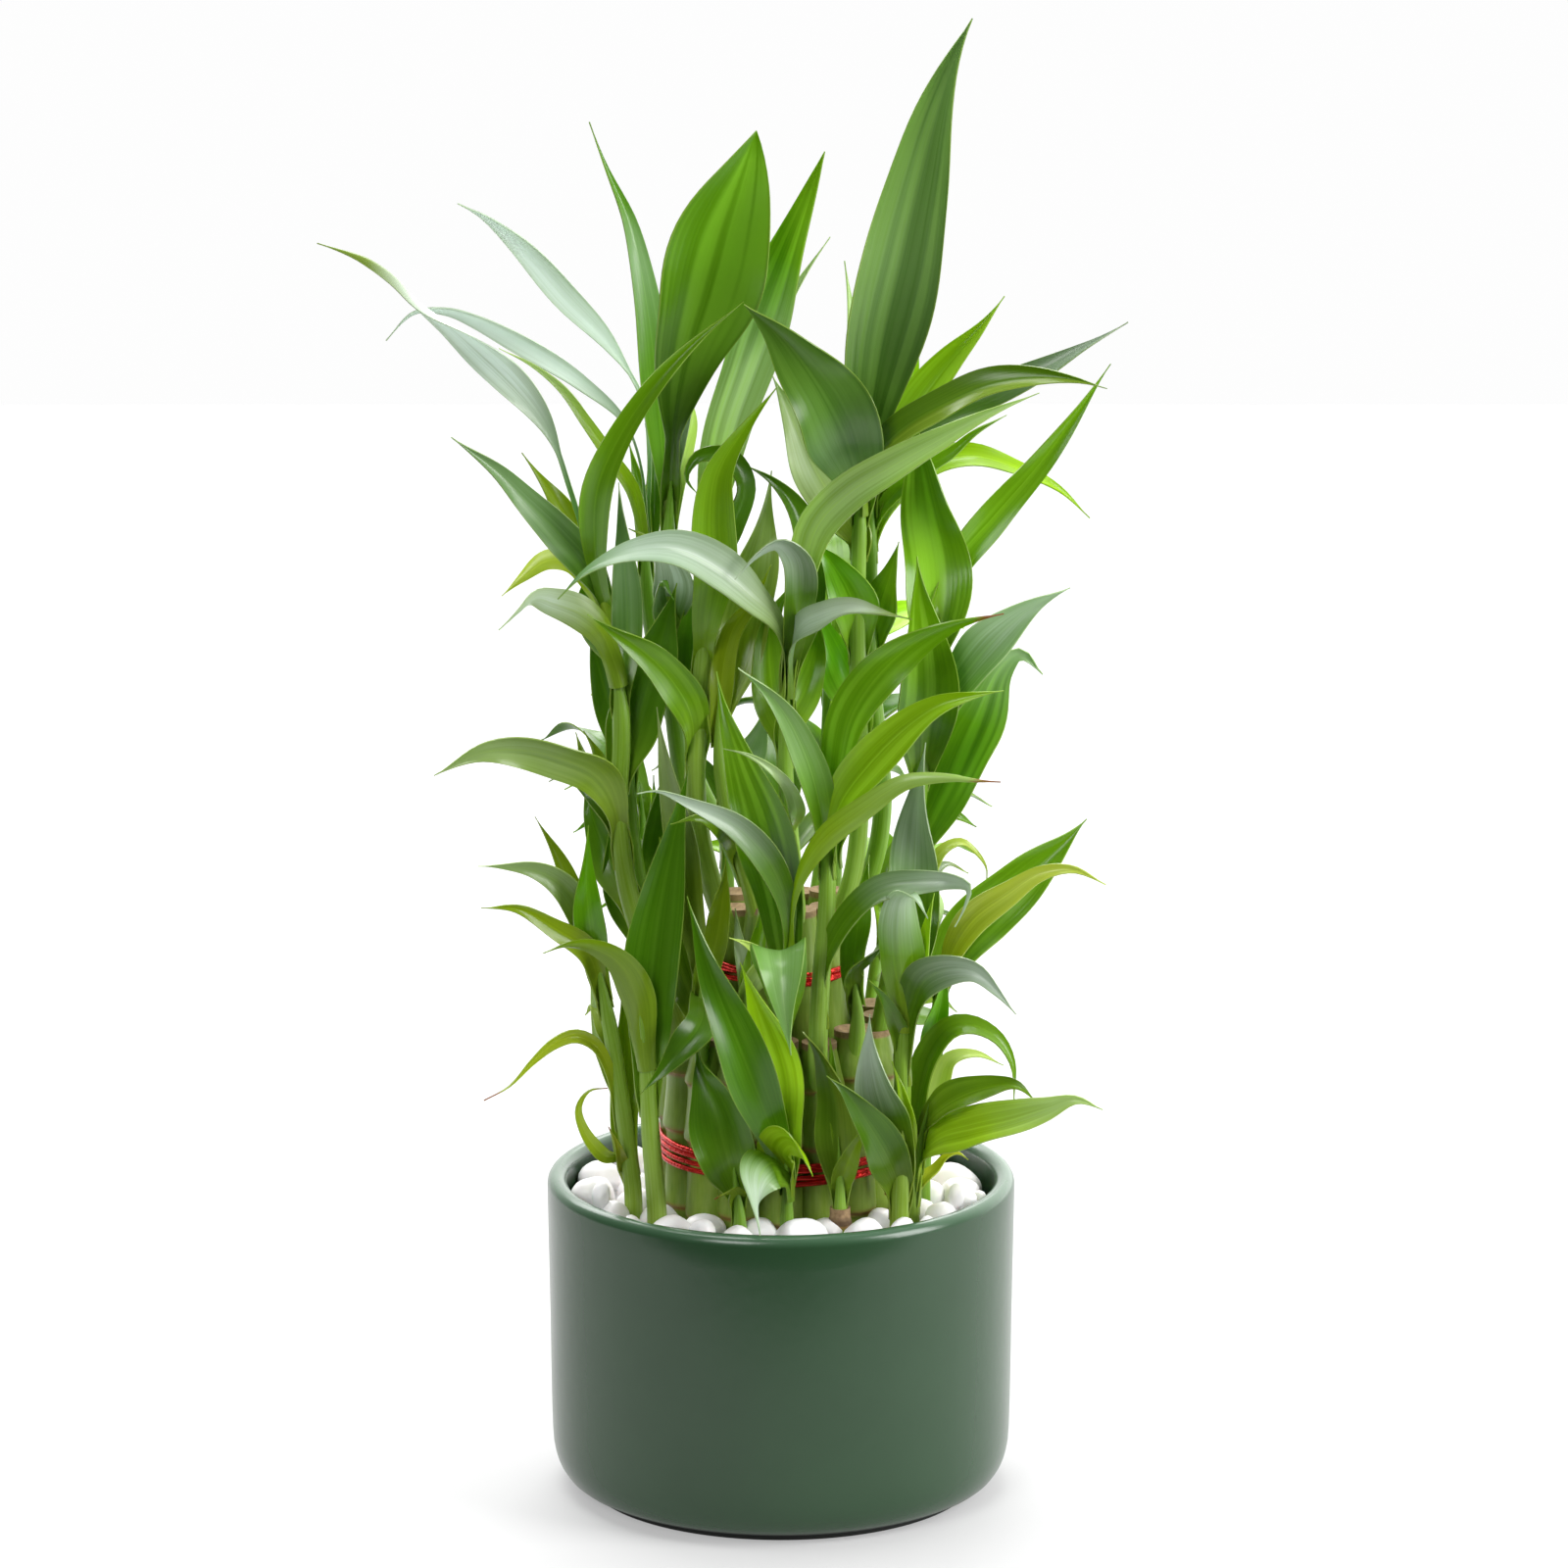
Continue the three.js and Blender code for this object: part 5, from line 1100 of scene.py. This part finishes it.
back_neck, arch_rise, arch_fall = 0.05, 1.5, 1.15
for tier_name, tier, index, turn, rise, lean, leaves in back_shoots:
    x, y = on_ring(tier, index)
    start = np.array([x, y, tier["top"] - 20 - top_drop(index)])
    out = np.array([math.cos(math.radians(turn)), math.sin(math.radians(turn)), 0])
    stem = [(lean * 0.65, 12), (lean, 32), (lean + 4, rise * 0.6), (lean + 7, rise)]
    path = [start] + [further(start, out, outward, up) for outward, up in stem]
    rows = []
    for order, (side, reach, width) in enumerate(leaves):
        angle = math.radians(turn + side)
        way = np.array([math.cos(angle), math.sin(angle), 0])
        root = further(start, out, lean + 6 - order * 2, rise * (0.93 - 0.2 * order))
        spine = [
            further(root, way, reach * share, reach * (arch_rise * share - arch_fall * share**2))
            for share in (0, 0.2, 0.45, 0.7, 1)
        ]
        look = ("mid", "bright", "dark")[(index + order) % 3]
        rows.append((width, 0, back_neck, look, spine, (0, 0, 1)))
    dressed(f"{tier_name}_stalk_{index + 1}", f"{tier_name}_shoot_{index + 1}", path, *plain_shoot,
        rows)

# Planted stalks
# Eight young stalks are pushed into the stones round the canes. One is a cut stub with a tan top.

# A row: how thick the stalk is, whether a stub stands beside it, its stem, and its leaves.
planted_shoots = [
    (3.4, False, [(-50, 101, -26), (-52.5, 122, -27), (-55.5, 143, -28), (-59, 163, -28),
        (-63, 184, -28)], [
        (4.5, 20, 0, "olive_dry", [(-55, 128, -27.5), (-58, 142, -31), (-63, 151, -34), (-70, 154, -37),
            (-77, 151.5, -40), (-84, 145.5, -43), (-92, 137, -46), (-101, 132, -48)]),
        (4.5, 10, 0, "olive_dry", [(-52.5, 112, -26.5), (-60, 114, -36), (-66, 121, -40),
            (-68.5, 130, -42), (-65, 135.5, -42), (-58, 136.5, -42)]),
        (8, 0, 0, "grey", [(-57, 143, -28), (-60, 155, -22), (-62.5, 165, -20), (-65, 174, -19)]),
        (8, 15, 0, "olive", [(-61, 170, -28), (-66, 183, -33), (-76, 190, -37), (-89, 197, -41),
            (-102, 197.5, -44)]),
        (10, 15, 0, "olive_grey", [(-62, 175, -28), (-68, 197, -30), (-75, 206, -33), (-84, 210.5, -36),
            (-95, 211.5, -39), (-103, 211.5, -41)]),
        (8, 5, 0, "olive", [(-61.5, 173, -28), (-69, 198, -24), (-75, 214, -22), (-83.5, 229, -20)]),
        (10, 0, 0, "fresh", [(-62, 176, -28), (-65, 195, -33), (-66, 210, -35), (-65, 226, -36)]),
        (10, 0, 0, "olive", [(-52.5, 116, -27), (-53, 138, -21), (-53, 157, -19), (-54, 175, -18)]),
        (4, 10, 0, "olive_dry", [(-52.5, 108, -27), (-55, 116, -34), (-58.5, 124, -37)]),
        (6, 0, 0, "olive_pale", [(-59, 156, -28), (-63, 164, -19), (-66.5, 161, -14)]),
    ]),
    (3.8, False, [(-42, 95, -45), (-44, 120, -45), (-45.5, 145, -45), (-48, 164, -46)], [
        (11, 165, 0, "olive", [(-46.5, 152, -45), (-49, 168, -47), (-55, 179, -51), (-64, 184, -54),
            (-73, 184.5, -57), (-81, 182, -60)]),
        (18, -5, 0, "dark", [(-44.8, 134, -45), (-44.5, 155, -40), (-43.5, 177, -39),
            (-40.5, 200, -38), (-36, 222, -38), (-31, 246, -38)]),
    ]),
    (2.9, False, [(-14, 93, -50), (-15.5, 106, -50.5), (-16, 114, -50.5)], [
        (20, -5, 0, "dark", [(-15.5, 104, -50.5), (-18.5, 114, -51), (-21, 124, -50),
            (-25, 138, -46), (-29, 152, -42)]),
        (6, 30, 0, "olive_dry", [(-14.5, 98, -50), (-16, 102, -57), (-19, 101, -61),
            (-23, 98.5, -63)]),
    ]),
    (2.9, False, [(2, 94, -50), (2, 106, -50.5), (1.5, 118, -50.5)], [
        (16, 180, 0, "pale_tip", [(1.8, 106, -50.5), (-3, 111, -58), (-7, 107, -68),
            (-8, 98, -76), (-7, 86, -83)]),
        (15, -30, 0, "bright", [(1.8, 108, -50.5), (-1, 116, -55), (3, 119, -61), (8, 114, -65),
            (11, 106, -68)]),
        (17, 0, 0, "bright", [(1.6, 108, -50), (0, 122, -49.5), (-1, 138, -49), (-5, 155, -48),
            (-10, 169, -48), (-14, 179.5, -49)]),
        (16, -5, 0, "dark", [(1.5, 108, -50.5), (-6, 130, -56), (-14, 150, -58), (-20, 165, -58),
            (-26, 182, -57), (-32, 202, -55)]),
    ]),
    (2.8, True, [(20, 95, -47), (20, 108, -47), (19.5, 120, -47)], [
        (14, -5, 0, "half", [(20, 104, -47), (19, 120, -46), (18, 134, -46), (14, 147, -47),
            (7, 156, -49)]),
        (7, 0, 0, "olive", [(20, 102, -47), (23, 112, -50), (27, 120, -51), (31, 126, -52)]),
        (4.5, 0, 0, "mid", [(19.6, 116, -47), (17.5, 138, -44.5), (16.5, 156, -46)]),
    ]),
    (3.6, False, [(40, 95, -43), (40.5, 110, -43), (41, 130, -43), (41.5, 150, -43),
        (42.5, 168, -43), (42, 180, -44)], [
        (15, 180, 0, "bright_sheen", [(42.3, 166, -43.5), (40.5, 180, -48), (40, 192, -52),
            (41.5, 201, -58), (46, 200, -65), (50, 193.5, -70)]),
        (7, -10, 0, "bright", [(42, 158, -43), (46, 175, -46), (49, 190, -47), (52, 203, -48)]),
        (13, -35, 0, "mid_pale_end", [(41.5, 148, -43), (45, 164, -47), (49, 173, -51), (57, 176.5, -56),
            (66, 175.5, -60), (73, 169, -64), (80, 161, -68)]),
        (18, 0, 0, "mid_pale_end", [(42.3, 168, -43), (43.5, 195, -38), (45, 215, -36), (46.5, 235, -35),
            (49, 254, -34)]),
        (6, 10, 0, "dark", [(41.2, 150, -44), (36, 165, -50), (29, 174, -54)]),
        (14, 5, 0, "dark", [(40, 102, -44), (36, 113, -51), (29, 125, -57), (22, 135, -61),
            (15, 141, -64)]),
        (16, -10, 0, "mid_pale_end", [(40.3, 108, -43.5), (36, 124, -48), (32, 138, -51), (30, 150, -52),
            (30, 162, -53)]),
        (5.5, 0, 0, "bright", [(40.3, 106, -44), (43.5, 122, -48), (40.5, 136, -51),
            (37.5, 146, -54)]),
    ]),
    (3, False, [(44.5, 98, -33), (46, 110, -33.5), (48, 122, -34), (50, 131, -34)], [
        (12, -35, 0, "mid", [(49, 125, -34), (54, 129.5, -38), (62, 134, -42), (72, 137, -46),
            (80, 137, -50), (87, 131.5, -54)]),
        (15, -25, 0.05, "bright_pale", [(46.5, 112, -34), (54, 119.5, -41), (65, 122.5, -48),
            (78, 125.5, -53), (90, 129.5, -57), (100, 132.5, -60), (109.5, 129, -62)]),
        (11, -45, 0, "mid", [(45.5, 106, -33), (47, 132, -26), (51.5, 148, -25), (58, 156.5, -25),
            (65, 157.5, -25), (73, 153.5, -26), (78, 145, -28), (79, 130, -29)]),
        (8, -35, 0, "pale", [(47, 116, -33), (53, 135, -21), (57, 146, -18), (66, 148, -16),
            (76, 144, -15)]),
        (4.5, -30, 0, "yellow", [(45.2, 103, -33), (52, 109, -29), (56, 113.5, -28), (60, 114.5, -28),
            (64, 112, -28)]),
    ]),
    (3, False, [(48, 104, -9), (49, 125, -10), (50.5, 145, -11), (53, 162, -12), (56, 180, -13)], [
        (20, -20, 0, "mid", [(55, 174, -13), (61, 185, -12), (70, 195, -9), (82, 206, -6),
            (93, 217, -3), (104, 228, -1)]),
        (10, -20, 0.05, "olive_pale", [(54.5, 170, -13), (59, 184, -22), (66, 194, -27), (77, 202, -30),
            (88, 209, -32), (99, 210.5, -34), (110.5, 205, -36)]),
        (8, 0, 0, "fresh", [(50.3, 142, -11), (52, 155, -18), (54.5, 168, -20), (56, 181, -21)]),
    ]),
]
root_depth, soil_top = 62, 90
stub_top, stub_radius, stub_joint = 111, 3.6, 105
planted_colours = ["olive", "yellow", "green", "green", "pale", "olive", "yellow", "green"]
for index, (girth, stub, stem, leaves) in enumerate(planted_shoots):
    path = [seen(p) for p in stem]
    x, y, _ = path[0]
    path = [(x, y, root_depth), (x, y, soil_top)] + path
    dressed(f"planted_stalk_{index + 1}", f"planted_shoot_{index + 1}", path, girth,
        planted_colours[index], traced(leaves))
    if stub:
        piece = cane("planted_stub", stub_radius, root_depth, stub_top, [stub_joint])
        mark_cane(piece, stub_top, [stub_joint], bare=6)
        piece.data.transform(Matrix.Translation((x * MM, y * MM, 0)))
        shade_smooth(piece, degrees=35)
        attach(piece, "root")
        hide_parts(f"planted_stalk_{index + 1}")

# Pebbles
# White marble pebbles, tumbled smooth and polished, cover the soil between the canes and the wall,
# heaped two deep. The stones are a little warm in tone, with a few faint grey veins.
pebble_white, shader, tree = new_material("pebble_white", linear(236, 232, 230), roughness=0.32)
cloud = noise(tree, node(tree, "TexCoord").outputs["Object"], scale=55, detail=4, distortion=0.6)
stone = mixed(tree, ranged(tree, cloud, (0.45, 0.75)), linear(250, 248, 250), linear(230, 223, 222))
tree.links.new(stone, shader.inputs["Base Color"])
shader.inputs["Subsurface Weight"].default_value = 0.25
shader.inputs["Subsurface Scale"].default_value = 0.002
shader.inputs["Subsurface Radius"].default_value = (1, 0.9, 0.85)
heap = np.random.default_rng(23)


def pebble(name):
    """One pebble: a ball flattened by a few soft planes."""
    planes, softness = 7, 9
    bpy.ops.mesh.primitive_ico_sphere_add(subdivisions=3, radius=MM)
    piece = bpy.context.object
    piece.name = name
    points = np.array([v.co for v in piece.data.vertices]) / MM
    points /= np.linalg.norm(points, axis=1)[:, None]
    cuts = heap.normal(size=(planes, 3))
    cuts /= np.linalg.norm(cuts, axis=1)[:, None]
    depth = heap.uniform(0.72, 0.95, planes)
    reach = np.ones(len(points))
    for cut, far in zip(cuts, depth):
        reach += np.clip(points @ cut / far, 0, None) ** softness
    points *= (reach ** (-1 / softness))[:, None]
    for vertex, point in zip(piece.data.vertices, points):
        vertex.co = point * MM
    return piece


patterns = [pebble(f"pebble_pattern_{k}") for k in range(6)]
stones = []


def set_stone(turn, ring, height, size, tall):
    """Sets a copy of a pebble on a ring, turned and drawn out to its size."""
    pattern = patterns[len(stones) % len(patterns)]
    wide, deep = size * heap.uniform(0.95, 1.15), size * heap.uniform(0.78, 0.95)
    lean = Matrix.Rotation(heap.uniform(-0.35, 0.35), 4, "X")
    lean = lean @ Matrix.Rotation(heap.uniform(-0.3, 0.3), 4, "Y")
    spin = Matrix.Rotation(heap.uniform(0, math.pi), 4, "Z")
    spot = (ring * math.cos(turn) * MM, ring * math.sin(turn) * MM, height * MM)
    place = Matrix.Translation(spot) @ lean @ spin @ Matrix.Diagonal((wide, deep, tall, 1))
    stones.append(moved_copy(pattern, "stone", place))


# In front lie the stones that the photograph shows: how far across, how wide, and how high the top.
front_stones = [
    (-65, 12, 112), (-61, 6, 116), (-57, 13, 109.5), (-50, 11, 108), (-37, 18, 110.5), (-26, 11, 111.5),
    (-15, 14, 110), (7, 23, 112), (28, 17, 111), (41, 12, 109.5), (49, 8, 109), (55, 14, 110.5),
    (61, 12, 113), (59, 6, 117), (66.5, 9, 108),
]
wall_radius = 72
for across, wide, top in front_stones:
    ring = max(wall_radius - wide * 0.42, abs(across) + 0.01)
    tall = 4.4 + 0.16 * wide
    set_stone(-math.acos(across / ring), ring, top - tall, wide * 0.5, tall)
# The others fill rings: the ring's radius, how many, half their width, height and half thickness.
# The first ring stays open in front, where the stones above lie.
ring_stones = [
    (62.5, 20, 9.6, 101, 7), (49.5, 15, 8.2, 100.5, 6.6), (57, 26, 7.2, 94, 5.5), (42, 16, 5.2, 95, 5),
]
front_until = -0.2
for row, (ring, count, size, height, tall) in enumerate(ring_stones):
    for index in range(count):
        turn = (index + heap.uniform(-0.2, 0.2)) * 2 * math.pi / count
        if row == 0 and math.sin(turn) < front_until:
            continue
        set_stone(turn, ring + heap.uniform(-1.2, 1.2), height + heap.uniform(-0.8, 0.8), size, tall)
for pattern in patterns:
    bpy.data.objects.remove(pattern)
pebbles = joined_as("white_marble_pebbles", stones)
pebbles.data.materials.append(pebble_white)
shade_smooth(pebbles, degrees=80)
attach(pebbles, "root")
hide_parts("white_pebbles")
